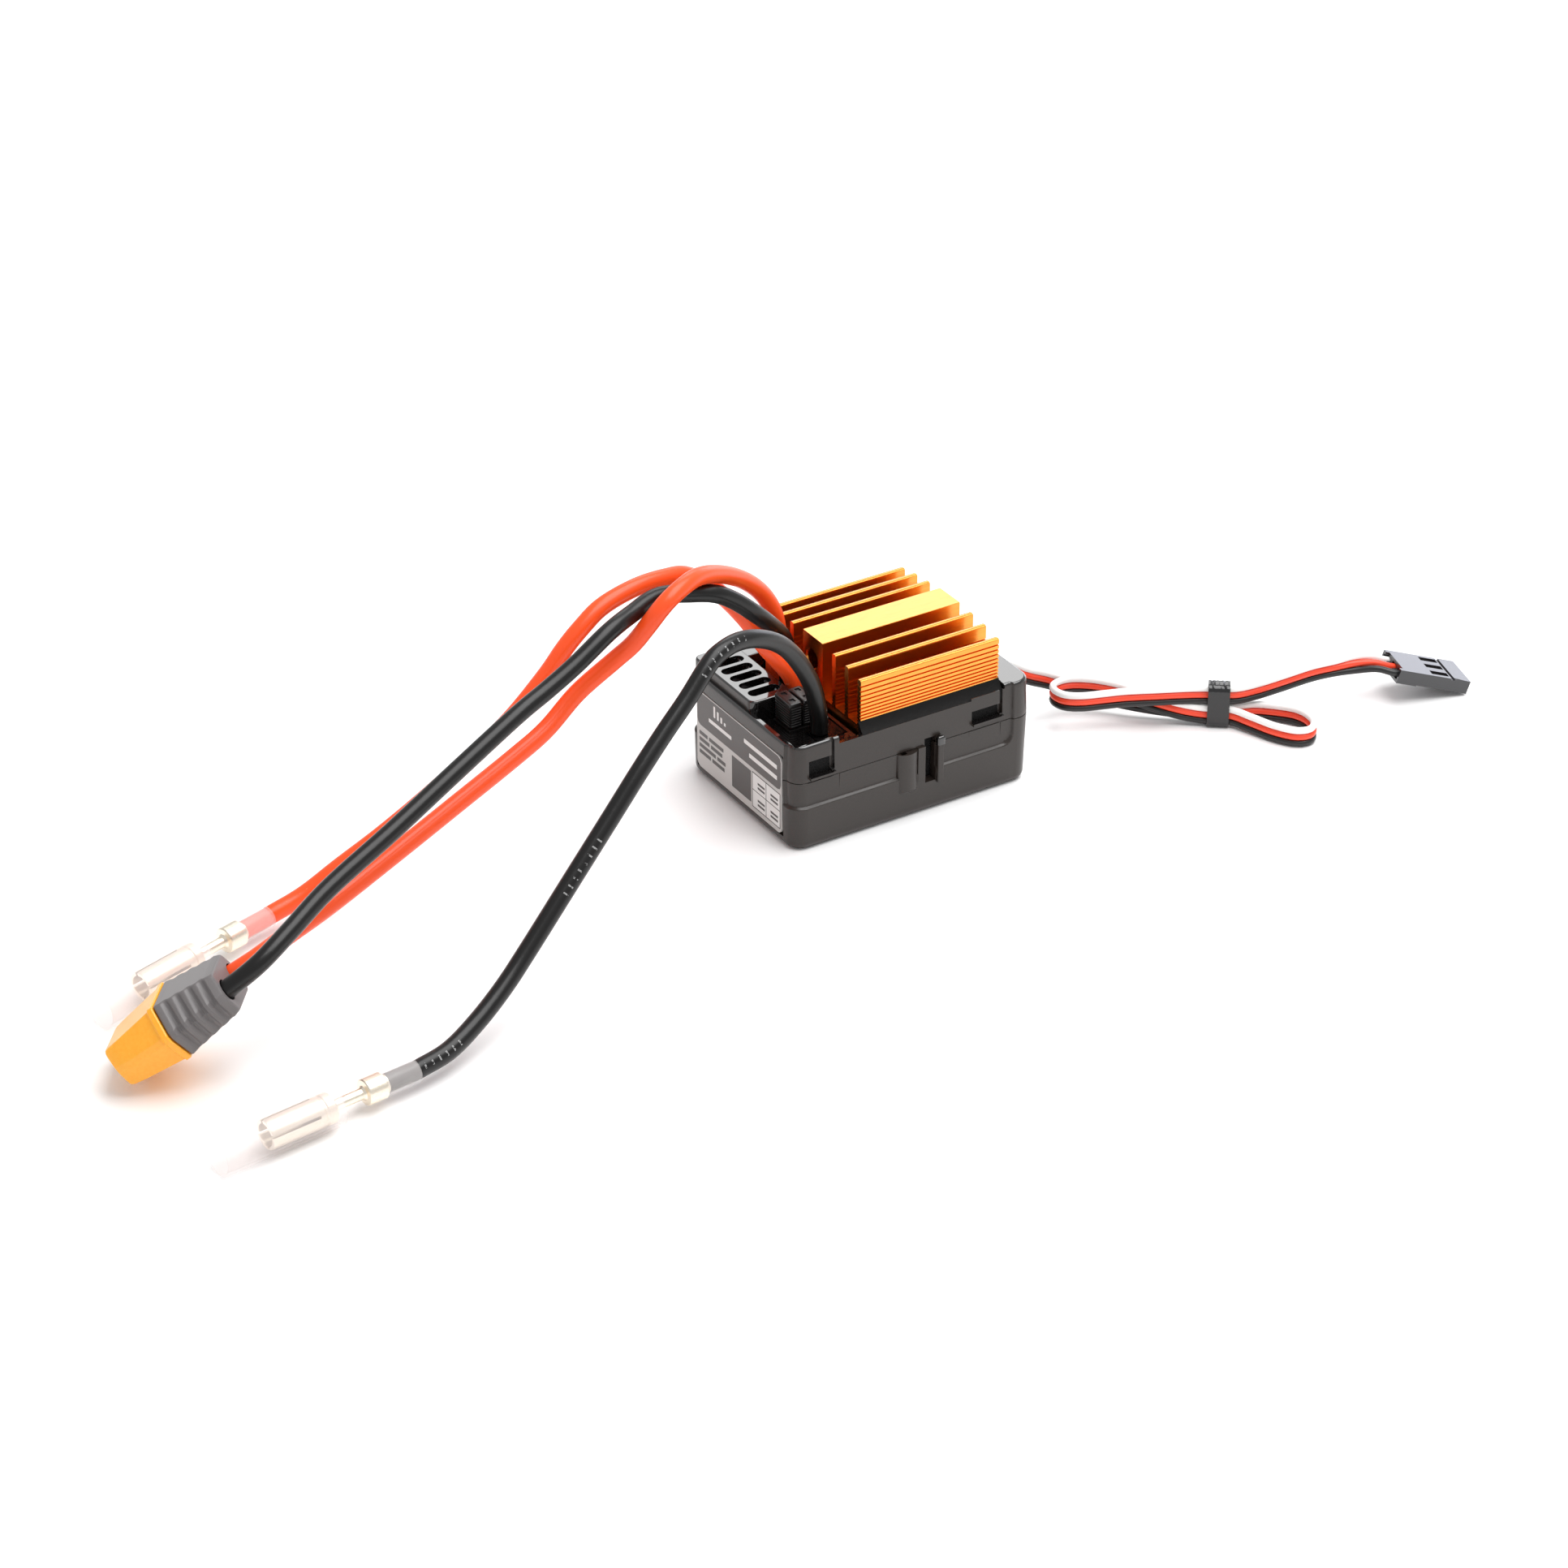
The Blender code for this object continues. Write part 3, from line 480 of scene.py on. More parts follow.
for number, (bullet_at, bullet_axis, wire_rubber, wire_slot) in enumerate(bullets, 1):
    bullet = turned(f"bullet_{number}", BULLET_SHAPE, 32, bullet_at, bullet_axis, plated_brass)
    slits = []
    for angle in SLIT_TURNS:
        slit_bm = bmesh.new()
        made = bmesh.ops.create_cube(slit_bm, size=1)["verts"]
        turn = Matrix.Rotation(math.radians(angle), 4, "X")
        lie = Matrix.Translation((SLIT_MIDDLE, 0, 0)) @ turn @ Matrix.Diagonal(SLIT_SIZE)
        bmesh.ops.transform(slit_bm, matrix=lie, verts=made)
        slits.append(settle("slit", slit_bm, at=bullet_at, turn=axis_frame(bullet_axis, (0, 0, 1))))
    bullet = cut_away(bullet, slits)
    wire_end = turned(f"wire_end_{number}", WIRE_END_SHAPE, 28, bullet_at, bullet_axis, wire_rubber)
    shrunk = turned(f"shrink_tube_{number}", SHRINK_SHAPE, 32, bullet_at, bullet_axis, milky_tube)
    finish_piece(wire_end)
    finish_piece(shrunk)
    bullet_pieces.append(finish_piece(bullet, f"motor_bullet_{number}"))

# ------------------------------------------------------------------ clear sleeves
# Soft clear tube pushed over each bullet, longer than its body, so that no metal shows
# when it is joined. It slides back along the wire to let the bullet be reached.
clear_pvc = new_material("clear_soft_tube", "FCF3F1", 0.3, IOR=1.25, Alpha=0.22)
grain(clear_pvc, 2.5, 0.03, (0.3, 1, 1))
SLEEVE_START = 14.0
SLEEVE_SHAPE = [
    (0.1, 3.25), (0.3, 3.3), (20.2, 3.3), (20.4, 3.25), (20.5, 3.1), (20.4, 2.95), (20.2, 2.9),
    (0.3, 2.9), (0.1, 2.95), (0, 3.1), (0.1, 3.25),
]
sleeve_pieces = []
for number, (bullet_at, bullet_axis, _, _) in enumerate(bullets, 1):
    start = Vector(bullet_at) + axis_frame(bullet_axis, (0, 0, 1)) @ Vector((SLEEVE_START, 0, 0))
    sleeve = turned(f"sleeve_{number}", SLEEVE_SHAPE, 40, start, bullet_axis, clear_pvc)
    sleeve_pieces.append(
        finish_piece(sleeve, f"clear_sleeve_{number}", f"clear_sleeve_{number}")
    )

for index, (color, route, rubber) in enumerate(
    (("black", motor_black_route, black_silicone), ("red", motor_red_route, red_silicone))
):
    sweep_cord(
        f"motor_wire_{color}_sleeve", f"motor_wire_{color}", route, WIRE, rubber, f"silicone_{color}",
        far_end="connector", stiffness="medium", lay="loose",
        with_pieces=[bullet_pieces[index], sleeve_pieces[index]],
    )

# ------------------------------------------------------------------ battery plug
# An orange nylon housing with two round contacts, and a grey ribbed boot that grips
# both wires. It lies on its lower long edge with its nose down, as the wires hold it.
PLUG_AT = (-125.5, -24.0, 15.7)
PLUG_AXIS = (-0.748, 0.323, -0.578)
PLUG_WIDE = (-0.53, -0.82, 0.223)
PLUG_PITCH = 6.8
BOOT_LENGTH = 9.8
PLUG_LENGTH = 20.5
plug_turn = axis_frame(PLUG_AXIS, PLUG_WIDE)


def round_corners(points, radius, steps=4):
    """A closed outline with each of its corners turned into an arc."""
    rounded = []
    count = len(points)
    for i, corner in enumerate(points):
        here = Vector(corner)
        before = (Vector(points[i - 1]) - here)
        after = (Vector(points[(i + 1) % count]) - here)
        angle = before.angle(after)
        reach = min(radius / math.tan(angle / 2), before.length * 0.45, after.length * 0.45)
        arc_radius = reach * math.tan(angle / 2)
        middle = here + (before.normalized()
            + after.normalized()).normalized() * (arc_radius / math.sin(angle / 2))
        a, b = here + before.normalized() * reach, here + after.normalized() * reach
        for k in range(steps + 1):
            spread = (a - middle).lerp(b - middle, k / steps)
            rounded.append(middle + spread.normalized() * arc_radius)
    return rounded


def loft(bm, rings):
    """A closed solid through rings of points that match one another."""
    made = [[bm.verts.new(point) for point in each] for each in rings]
    count = len(made[0])
    for low, high in zip(made, made[1:]):
        for i in range(count):
            j = (i + 1) % count
            bm.faces.new((low[i], low[j], high[j], high[i]))
    bm.faces.new(list(reversed(made[0])))
    bm.faces.new(made[-1])


def plug_ring(s, flat, ridge, thick, radius=0.5):
    """A section of the plug: two flat wide faces, with bevelled narrow sides that meet in a ridge."""
    f, t = flat / 2, thick / 2
    side = [(f, -t), (f + ridge, -0.5), (f + ridge, 0.5), (f, t)]
    outline = side + [(-y, -z) for y, z in side]
    return [(s, p.x, p.y) for p in round_corners(outline, radius)]


def circle(middle_y, middle_z, radius, sides):
    """Pairs round a circle."""
    turns = [2 * math.pi * k / sides for k in range(sides)]
    return [(middle_y + radius * math.cos(a), middle_z + radius * math.sin(a)) for a in turns]


def round_cutters(radius, start, end):
    """Two round holes along the plug, one for each of its wires."""
    cutters = []
    for side in (-1, 1):
        bm = bmesh.new()
        hole = circle(side * PLUG_PITCH / 2, 0, radius, 24)
        loft(bm, [[(s, y, z) for y, z in hole] for s in (start, end)])
        cutters.append(settle("hole", bm, at=PLUG_AT, turn=plug_turn))
    return cutters


rubber_grey = new_material("grey_thermoplastic_rubber", "6A6666", 0.4)
grain(rubber_grey, 0.18, 0.01)
GROOVE_START, GROOVE_EVERY = 1.2, 2.05
groove_steps = ((0, 0), (0.25, 0.3), (0.5, 0.85), (0.8, 1.0), (1.1, 0.85), (1.35, 0.3), (1.6, 0))
rings = [plug_ring(0, 8.6, 1.2, 6.4, 0.9), plug_ring(0.12, 9.0, 1.3, 6.8, 0.9),
    plug_ring(0.4, 9.2, 1.4, 7.0, 0.8)]
for k in range(4):
    for step, depth in groove_steps:
        s = GROOVE_START + GROOVE_EVERY * k + step
        grow = s / BOOT_LENGTH
        flat, ridge = 9.4 + 1.0 * grow - 0.9 * depth, 1.5 + 0.9 * grow - 0.3 * depth
        rings.append(plug_ring(s, flat, ridge, 7.1 + 2.1 * grow))
rings += [plug_ring(BOOT_LENGTH - 0.15, 10.5, 2.4, 9.3), plug_ring(BOOT_LENGTH + 0.05, 10.4, 2.35, 9.2)]
boot_bm = bmesh.new()
loft(boot_bm, rings)
boot = settle("plug_boot", boot_bm, rubber_grey, 28, PLUG_AT, plug_turn)
boot = cut_away(boot, round_cutters(1.78, -1, 4.5), sharp_degrees=28)
finish_piece(boot, "battery_plug_boot")

# Glass-filled nylon: bright orange right through, semi-gloss, faintly speckled.
orange_nylon = new_material("orange_moulded_nylon", "FFAE2E", 0.3, Subsurface_Weight=0.2,
    Subsurface_Scale=0.0015)
tint(orange_nylon, grain(orange_nylon, 0.5, 0.003), "FFAA28", "FFB234", 0.3, 0.7)
housing_rings = (
    (BOOT_LENGTH + 0.3, 10.7, 2.4, 9.3), (BOOT_LENGTH + 0.45, 11.0, 2.5, 9.6),
    (BOOT_LENGTH + 1.15, 11.0, 2.5, 9.6), (BOOT_LENGTH + 1.3, 10.75, 2.35, 9.2),
    (BOOT_LENGTH + 1.5, 10.6, 2.2, 9.0), (PLUG_LENGTH - 3.0, 10.6, 1.5, 7.4),
    (PLUG_LENGTH - 0.7, 10.3, 0.95, 6.8, 0.8), (PLUG_LENGTH - 0.25, 10.0, 0.9, 6.5, 0.9),
    (PLUG_LENGTH, 9.4, 0.6, 5.9, 0.9),
)
housing_bm = bmesh.new()
loft(housing_bm, [plug_ring(*ring) for ring in housing_rings])
housing = settle("plug_housing", housing_bm, orange_nylon, 28, PLUG_AT, plug_turn)
housing = cut_away(housing, round_cutters(2.2, BOOT_LENGTH + 1.6, PLUG_LENGTH + 1), sharp_degrees=28)
finish_piece(housing, "battery_plug_housing")
CONTACT_SHAPE = [
    (0, 0), (0, 1.8), (0.1, 1.85), (7.4, 1.85), (7.6, 1.7), (7.6, 1.35), (7.3, 1.2), (1.4, 1.2), (1.2, 0),
]
contact_pieces = []
for number, side in enumerate((-1, 1), 1):
    contact_at = Vector(PLUG_AT) + plug_turn @ Vector((BOOT_LENGTH + 2.0, side * PLUG_PITCH / 2, 0))
    contact = turned(
        f"plug_contact_{number}", CONTACT_SHAPE, 28, contact_at, PLUG_AXIS, plated_brass, PLUG_WIDE
    )
    contact_pieces.append(finish_piece(contact, f"battery_contact_{number}"))
for color, route, rubber, contact in (
    ("black", battery_black_route, black_silicone, contact_pieces[1]),
    ("red", battery_red_route, red_silicone, contact_pieces[0]),
):
    sweep_cord(
        f"battery_wire_{color}_sleeve", f"battery_wire_{color}", route, WIRE, rubber, f"silicone_{color}",
        far_end="plug", stiffness="medium", lay="loose", with_pieces=[boot, housing, contact],
    )

# ------------------------------------------------------------------ receiver plug
# A black three-way crimp housing with a window over each contact, where its latch
# tongue holds the gold crimp. It lies nose down, held up behind by the lead.
RX_AT = (97.6, -28.2, 3.55)
RX_AXIS = (0.913, -0.262, -0.312)
RX_CROSS = (0.274, 0.962, 0.0)
RX_PITCH = 2.5
RX_HALF = (6.95, 3.81, 1.27)
rx_turn = axis_frame(RX_AXIS, RX_CROSS)


def block(bm, x, y, z):
    """A box between limits, added to a bmesh in millimetres."""
    corners = [bm.verts.new((a, b, c)) for c in z for b in y for a in x]
    for face in ((0, 2, 3, 1), (4, 5, 7, 6), (0, 1, 5, 4), (2, 6, 7, 3), (0, 4, 6, 2), (1, 3, 7, 5)):
        bm.faces.new([corners[i] for i in face])


def blocks(name, ranges, material=None, at=(0, 0, 0), turn=None):
    """One object of several boxes that don't overlap."""
    bm = bmesh.new()
    for x, y, z in ranges:
        block(bm, x, y, z)
    return settle(name, bm, material, at=at, turn=turn)


black_nylon = new_material(
    "black_moulded_nylon", "232226", 0.22, Coat_Weight=0.6, Coat_Roughness=0.15
)
grain(black_nylon, 0.25, 0.012)
ways = (-RX_PITCH, 0, RX_PITCH)
rx_cuts = (
    ("ways", [((-8, 8), (y - 0.85, y + 0.85), (-0.75, 0.75)) for y in ways]),
    ("windows", [((-0.5, 2.9), (y - 0.62, y + 0.62), (0.3, 3)) for y in ways]),
    ("cross_groove", [((3.15, 3.75), (-4, 4), (1.02, 3))]),
    ("step", [((-3.0, 8), (-4, 4), (-3, -1.12))]),
    ("rear_notch", [((-8, -6.3), (-2.9, 2.9), (0.2, 3))]),
)
plug_body = cut_away(
    blocks("lead_plug", [[(-half, half) for half in RX_HALF]], black_nylon, RX_AT, rx_turn),
    [blocks(name, ranges, None, RX_AT, rx_turn) for name, ranges in rx_cuts],
    bevel=0.12,
)
finish_piece(plug_body, "receiver_plug_housing")
lead_contacts = []
for number, y in enumerate(ways, 1):
    crimp = blocks(
        f"lead_contact_{number}", [((-3.2, 5.6), (y - 0.5, y + 0.5), (-0.45, 0.45))],
        plated_brass, RX_AT, rx_turn,
    )
    gaps = [((-3.4, -0.9), (y - 0.22, y + 0.22), (0.0, 1)), ((1.9, 5.9), (y - 0.3, y + 0.3), (-0.25, 0.25))]
    crimp = cut_away(crimp, [blocks("crimp_gap", gaps, None, RX_AT, rx_turn)], bevel=0.06)
    lead_contacts.append(finish_piece(crimp, f"receiver_contact_{number}"))

# ------------------------------------------------------------------ lead tie
# A turn of glossy black film round the folded lead, pulled tight and pressed flat.
# Its faces wave a little where the film is stretched over the wires.
TIE_AT = (60.35, -18.85, 0)
TIE_WIDE, TIE_STEPS = 3.7, 12
tie_turn = axis_frame((0.8, -0.6, 0), (0.6, 0.8, 0))
tie_film = new_material("glossy_tie_film", "0B0A0C", 0.2, Coat_Weight=0.3, Coat_Roughness=0.1)
grain(tie_film, 2.6, 0.03, (1, 1, 0.4))


def band_ring(s, half_y, low, high, radius):
    """A section of the tie at a distance along the lead."""
    outline = [(half_y, low), (half_y, high), (-half_y, high), (-half_y, low)]
    return [(s, p.x, p.y) for p in round_corners(outline, radius, 5)]


tie_rings = []
for k in range(TIE_STEPS + 1):
    s = -TIE_WIDE / 2 + TIE_WIDE * k / TIE_STEPS
    tie_rings.append(
        band_ring(s, 1.72 + 0.05 * math.sin(k * 1.9), 0.06, 8.06 + 0.06 * math.sin(k * 2.6), 1.1))
tie_bm = bmesh.new()
loft(tie_bm, tie_rings)
tie_hole = bmesh.new()
loft(tie_hole, [band_ring(s, 1.42, 0.38, 7.76, 0.9) for s in (-3, 3)])
tie = settle("tie_band", tie_bm, tie_film, at=TIE_AT, turn=tie_turn)
tie = cut_away(tie, [settle("tie_hole", tie_hole, at=TIE_AT, turn=tie_turn)])
finish_piece(tie, "lead_tie")

# ------------------------------------------------------------------ receiver lead
# A three-wire ribbon, white, red and black, standing on its edge: out of the case, through
# the tie, round the right loop, back round the left loop, and through the tie to its plug.
LEAD_PITCH, LEAD_WIRE = 1.2, 1.2
lead_route = [
    (23.5, 1, 12.55), (26.5, 0.9, 12.4), (30, 0.3, 10.9), (34, 0, 8.4), (38.2, -0.1, 6.3),
    (41.8, -1.8, 4.7), (45.8, -5, 3.5), (49.8, -9.2, 2.9),
    (54.4, -13.3, 2.4), (58.5, -16.8, 2.2), (62.8, -20, 2.2), (66.4, -21.2, 2), (69.4, -23.6, 1.9),
    (71.4, -26.2, 1.9), (71.9, -28.8, 1.9),
    (71.3, -31.1, 1.9), (69.4, -32.6, 1.9), (67, -31.8, 1.9), (64.9, -28.6, 1.9), (63.3, -24.4, 2),
    (61.6, -20.7, 2.2), (58.2, -18, 2.2),
    (55, -15.7, 2.8), (52, -13.4, 3.8), (49.1, -11, 4.9), (46.5, -8.5, 5.8), (43.6, -6, 6.3),
    (40.6, -4.1, 6.5), (38.2, -3.5, 6.5), (36.3, -4.1, 6.5),
    (35.6, -5.9, 6.5), (36.3, -8, 6.5), (38.6, -9.7, 6.5), (42.1, -11, 6.5), (45.8, -12.2, 6.4),
    (51, -14.4, 6.2), (55.2, -16.1, 6), (58.2, -17.6, 5.9),
    (62.4, -20.4, 5.9), (66, -21.4, 6.1), (71, -21.8, 6.3), (77.5, -21.9, 6.4), (82, -22.5, 6.4),
]
upright = Vector((0, 0, LEAD_PITCH))
across = rx_turn @ Vector((0, 1, 0))

# Flexible PVC: thin, clean and slightly glossy.
lead_colors = {}
for color, code in (("white", "F4F3F1"), ("red", "F4482A"), ("black", "1B1A1A")):
    lead_colors[color] = new_material(f"{color}_pvc", code, 0.33)
    grain(lead_colors[color], 0.5, 0.008)
# At the end the ribbon turns flat and its wires spread to the ways of the plug.
for (color, side), crimp in zip((("white", 1), ("red", 0), ("black", -1)), reversed(lead_contacts)):
    route = [Vector(p) + upright * side for p in lead_route]
    route += [
        Vector((85.6, -23.6, 6.6)) + (upright * 0.8 + across * 0.7) * side,
        Vector((88.6, -25.1, 6.6)) + (upright * 0.3 + across * 1.6) * side,
        Vector(RX_AT) + rx_turn @ Vector((-7.4, side * RX_PITCH, 0)),
        Vector(RX_AT) + rx_turn @ Vector((-4.2, side * RX_PITCH, 0)),
    ]
    sweep_cord(
        f"lead_{color}", f"lead_wire_{color}", route, LEAD_WIRE, lead_colors[color], f"silicone_{color}",
        sides=14, spacing=0.0007,
        far_end="plug", stiffness="limp", lay="loose", with_pieces=[plug_body, crimp, tie],
    )

# ------------------------------------------------------------------ base shell
# The lower half of the case, moulded in black ABS. A band along its foot stands proud of the
# panel above it, and the panel carries a cable boss, a slot and a hooked rib at its middle.
HALF_X, HALF_Y, CORNER = 23.3, 16.85, 3.0
CORNER_X, CORNER_Y = 20.3, 13.85
PARTING, COVER_TOP, DRAFT = 12.5, 19.2, 0.32
PANEL_END, LEDGE, PANEL_DEPTH = 19.3, 8.0, 0.55
LEDGE_SLOPE, LEDGE_CORNER = 0.48, 2.0
WALL, FOOT_RADIUS = 1.6, 1.4
LABEL_SEAT = ((-23.8, -22.6), (-13.25, 13.95))
LEAD_GATE = ((20, 25), (-0.95, 2.95))


def outline_columns():
    """Points round the case with their outward normals, closer together where the panel ends."""
    long_side = [-CORNER_X + 2.03 * k for k in range(19)] + [17.2, 17.9, 18.5]
    long_side += [18.9 + 0.08 * k for k in range(11)] + [20.2]

    def corner(x, y, start, count=11):
        turns = [math.radians(start + 9 * k) for k in range(count)]
        return [(x + CORNER * math.cos(a), y + CORNER * math.sin(a), math.cos(a), math.sin(a)) for a in turns]

    columns = [(x, -HALF_Y, 0, -1) for x in long_side]
    columns += corner(CORNER_X, -CORNER_Y, -90)
    columns += [(HALF_X, y, 1, 0) for y in (-9, -3, 3, 9)]
    columns += corner(CORNER_X, CORNER_Y, 0)
    columns += [(x, HALF_Y, 0, 1) for x in reversed(long_side[1:])]
    columns += corner(-CORNER_X, CORNER_Y, 90)
    columns += [(-HALF_X, y, -1, 0) for y in (13.4, 9, 3, -3, -9, -13.4)]
    return columns + corner(-CORNER_X, -CORNER_Y, 180, 10)


case_columns = outline_columns()


def panel_inset(x, y, z):
    """How far the panel lies behind the band, with a short slope at its lower edge and right end."""
    right, low = PANEL_END - x, z - LEDGE
    if right < LEDGE_CORNER and low < LEDGE_CORNER:
        reach = LEDGE_CORNER - math.hypot(LEDGE_CORNER - right, LEDGE_CORNER - low)
    else:
        reach = min(right, low)
    share = min(max((reach + LEDGE_SLOPE / 2) / LEDGE_SLOPE, 0.0), 1.0)
    beside_label = min(max((abs(y) - 13.3) / 0.5, 0.0), 1.0)
    return PANEL_DEPTH * share * share * (3 - 2 * share) * beside_label


def case_rows(bm, rows):
    """A closed shell through rows of (height, inset, follow). A row that follows takes the panel's relief."""
    made = []
    for z, inset, follow in rows:
        away = (PARTING - z) / PARTING if z < PARTING else (z - PARTING) / (COVER_TOP - PARTING) * 0.6
        line = []
        for x, y, nx, ny in case_columns:
            back = inset + DRAFT * away + (panel_inset(x, y, z) if follow else 0.0)
            back = min(back, CORNER - 0.2) if abs(nx) > 0.01 and abs(ny) > 0.01 else back
            line.append((x - nx * back, y - ny * back, z))
        made.append(line)
    loft(bm, made)


# Moulded ABS: near black, a fine spark-eroded grain that breaks the reflections a little.
moulded_abs = new_material("moulded_black_abs", "29221E", 0.3)
tint(moulded_abs, grain(moulded_abs, 0.16, 0.006, detail=5.0), "261F1B", "2D2622", 0.3, 0.7)

foot_turns = [math.radians(15 * k) for k in range(7)]
outer_rows = [(FOOT_RADIUS * (1 - math.cos(a)), FOOT_RADIUS * (1 - math.sin(a)), False) for a in foot_turns]
ledge_heights = (
    4.0, 6.6, 7.4, 7.7, 7.78, 7.86, 7.93, 8.0, 8.07, 8.14, 8.22, 8.3, 8.6, 8.9, 9.2, 9.5, 9.8, 10.1,
    10.5, 11.2, 12.4,
)
inner_rows = [(12.46, 0.06, True), (12.46, WALL, False), (WALL, WALL + 0.2, False)]
shell_bm = bmesh.new()
case_rows(shell_bm, outer_rows + [(z, 0.0, True) for z in ledge_heights] + inner_rows)
shell = settle("shell", shell_bm, moulded_abs, 30)


def standing(outline, low, high):
    """A solid standing on an outline in X and Y."""
    bm = bmesh.new()
    loft(bm, [[(x, y, z) for x, y in outline] for z in (low, high)])
    return bm


boss_turns = [math.radians(a) for a in range(180, -1, -12)]
boss_arc = [(-1.2 + 2.05 * math.cos(a), -15.95 - 1.45 * math.sin(a)) for a in boss_turns]
boss_outline = [(-3.3, -15.6)] + boss_arc + [(0.9, -15.6)]
boss_foot = [(x - 0.25 if x < -1.2 else x, y + 0.25) for x, y in boss_outline]
boss_levels = ((5.2, boss_foot), (5.5, boss_outline), (12.45, boss_outline))
boss_bm = bmesh.new()
loft(boss_bm, [[(x, y, z) for x, y in outline] for z, outline in boss_levels])
rib_outline = round_corners([(4.3, -15.6), (4.3, -17.25), (5.5, -17.25), (5.5, -15.6)], 0.25)
groove_marks = [(x, w, side, d) for x, w in ((-14.35, 0.34), (17.0, 0.3)) for side,
    d in ((-1, 0.02), (1, -0.02))]
shell = cut_away(
    shell,
    [
        blocks("slot", [((2.15, 4.15), (-18, -14.9), (5.7, 14))]),
        blocks("boss_hole", [((-2.6, -1.5), (-16.9, -15.9), (11.4, 14))]),
        blocks("label_seat", [(*LABEL_SEAT, (1.75, 14))]),
        blocks("lead_gate", [(*LEAD_GATE, (9.9, 14))]),
        blocks("grooves", [
            ((x - w / 2, x + w / 2), (side * 16.55 - 0.35 - d, side * 16.55 + 0.35 - d), (8.6, 13))
            for x, w, side, d in groove_marks
        ]),
        blocks("hairlines", [((x - 0.07, x + 0.07), (-16.9, -16.26), (8.5, 13)) for x in (-20.5, 10.85)]),
    ],
    union=(
        settle("boss", boss_bm),
        blocks("boss_flange", [((0.7, 2.1), (-16.75, -15.6), (6.3, 12.62))]),
        settle("rib", standing(rib_outline, 5.3, 12.9)),
        blocks("posts",
            [((x, x + 3.4), (y, y + 3.0), (1.2, 10.9)) for x in (-21.2, 17.8) for y in (-14.9, 11.9)]),
    ),
    sharp_degrees=30,
)
finish_piece(shell, "base_shell")


def rectangle(x, y, inset=0.0):
    """The corners of a rectangle between limits, drawn in by an inset."""
    left, right, near, far = x[0] + inset, x[1] - inset, y[0] + inset, y[1] - inset
    return [(left, near), (right, near), (right, far), (left, far)]


def rounded_box(name, x, y, z, radius, top=0.35, steps=6, material=None):
    """A box with round upright corners and a softened top edge."""
    turns = [math.radians(22.5 * k) for k in range(5)]
    levels = [(z[0], 0.0)] + [(z[1] - top * (1 - math.sin(a)), top * (1 - math.cos(a))) for a in turns]
    rings = []
    for height, inset in levels:
        outline = round_corners(rectangle(x, y, inset), max(radius - inset, 0.1), steps)
        rings.append([(p.x, p.y, height) for p in outline])
    bm = bmesh.new()
    loft(bm, rings)
    return settle(name, bm, material)


# The polished faces of the same plastic mirror the light almost like glass.
polished_abs = new_material("polished_black_abs", "100E0E", 0.07, Coat_Weight=1.0, Coat_Roughness=0.06)
grain(polished_abs, 1.2, 0.004, detail=2.0)
rib_hook = rounded_box("rib_hook", (4.15, 5.65), (-17.4, -16.5), (12.4, 13.9), 0.35, 0.4, 4, polished_abs)
finish_piece(rib_hook)

# ------------------------------------------------------------------ latch tongues
# Four tongues of the lower half reach up behind the windows of the cover. Their faces are knurled, and they
# are coloured near black with a weak reflection, darker than the same plastic elsewhere: painted shade, so
# each window shows a dark, rough patch. A plain plate in the same painted-shade black closes the slot.
# Near black and dull: painted shade for the recess behind each window and inside the slot.
shaded_knurled_abs = new_material("knurled_abs_painted_shade", "080707", 0.7, Specular_IOR_Level=0.25)
grain(shaded_knurled_abs, 0.3, 0.25, detail=1.0)
windows = [(*window, side) for window in ((-20.0, -15.7, 13.5, 16.3), (11.4, 16.9, 13.9, 16.0))
    for side in (-1, 1)]


def beside(side, inner, outer):
    """Limits in Y on the front or the back side of the case."""
    return sorted((side * inner, side * outer))


tongue_ranges = [((a - 0.3, b + 0.7), beside(side, 15.55, 14.95), (12.9, d + 0.1)) for a, b, c, d,
    side in windows]
# The plate behind the slot is a dark sheet that stands in for the shade inside the slot.
slot_shade_plate = ((1.6, 4.9), (-14.95, -14.7), (5.2, 14.4))
tongues = blocks("latch_tongues", tongue_ranges + [slot_shade_plate], shaded_knurled_abs)
finish_piece(tongues)

# ------------------------------------------------------------------ top cover
# The upper half, moulded in the same plastic with a polished tool. It snaps over the
# tongues, and holds the raised grille box, the sunken deck for the wires and jumpers, and
# the opening that the heat sink stands in.
cover_rows = [(15.6, WALL + 0.25, False), (12.54, WALL, False), (12.54, 0.06, True)]
cover_rows += [(z, 0.0, True) for z in (12.6, 13.5, 15.0, 16.5, 18.0, 18.65)]
cover_rows += [(18.85, 0.04, True), (19.02, 0.14, True), (19.14, 0.3, True), (COVER_TOP, 0.5, True)]
cover_bm = bmesh.new()
case_rows(cover_bm, cover_rows)
cover = settle("cover", cover_bm, moulded_abs, 30)

SLOT_COUNT, SLOT_PITCH, SLOT_Y, SLOT_RADIUS = 6, 0.0028, 0.5, 0.95
slot_ends = []
for centre, start in ((-16.35, -90), (-20.15, 90)):
    turns = [math.radians(start + 15 * j) for j in range(13)]
    slot_ends += [(centre + SLOT_RADIUS * math.cos(a), SLOT_Y + SLOT_RADIUS * math.sin(a)) for a in turns]
slot_mouth = [(x, y + (0.12 if y > SLOT_Y else -0.12)) for x, y in slot_ends]
slot_levels = ((19.0, slot_ends), (20.6, slot_ends), (21.3, slot_mouth))
slot_bm = bmesh.new()
loft(slot_bm, [[(x, y, z) for x, y in outline] for z, outline in slot_levels])
grille_slots = settle("grille_slots", slot_bm)
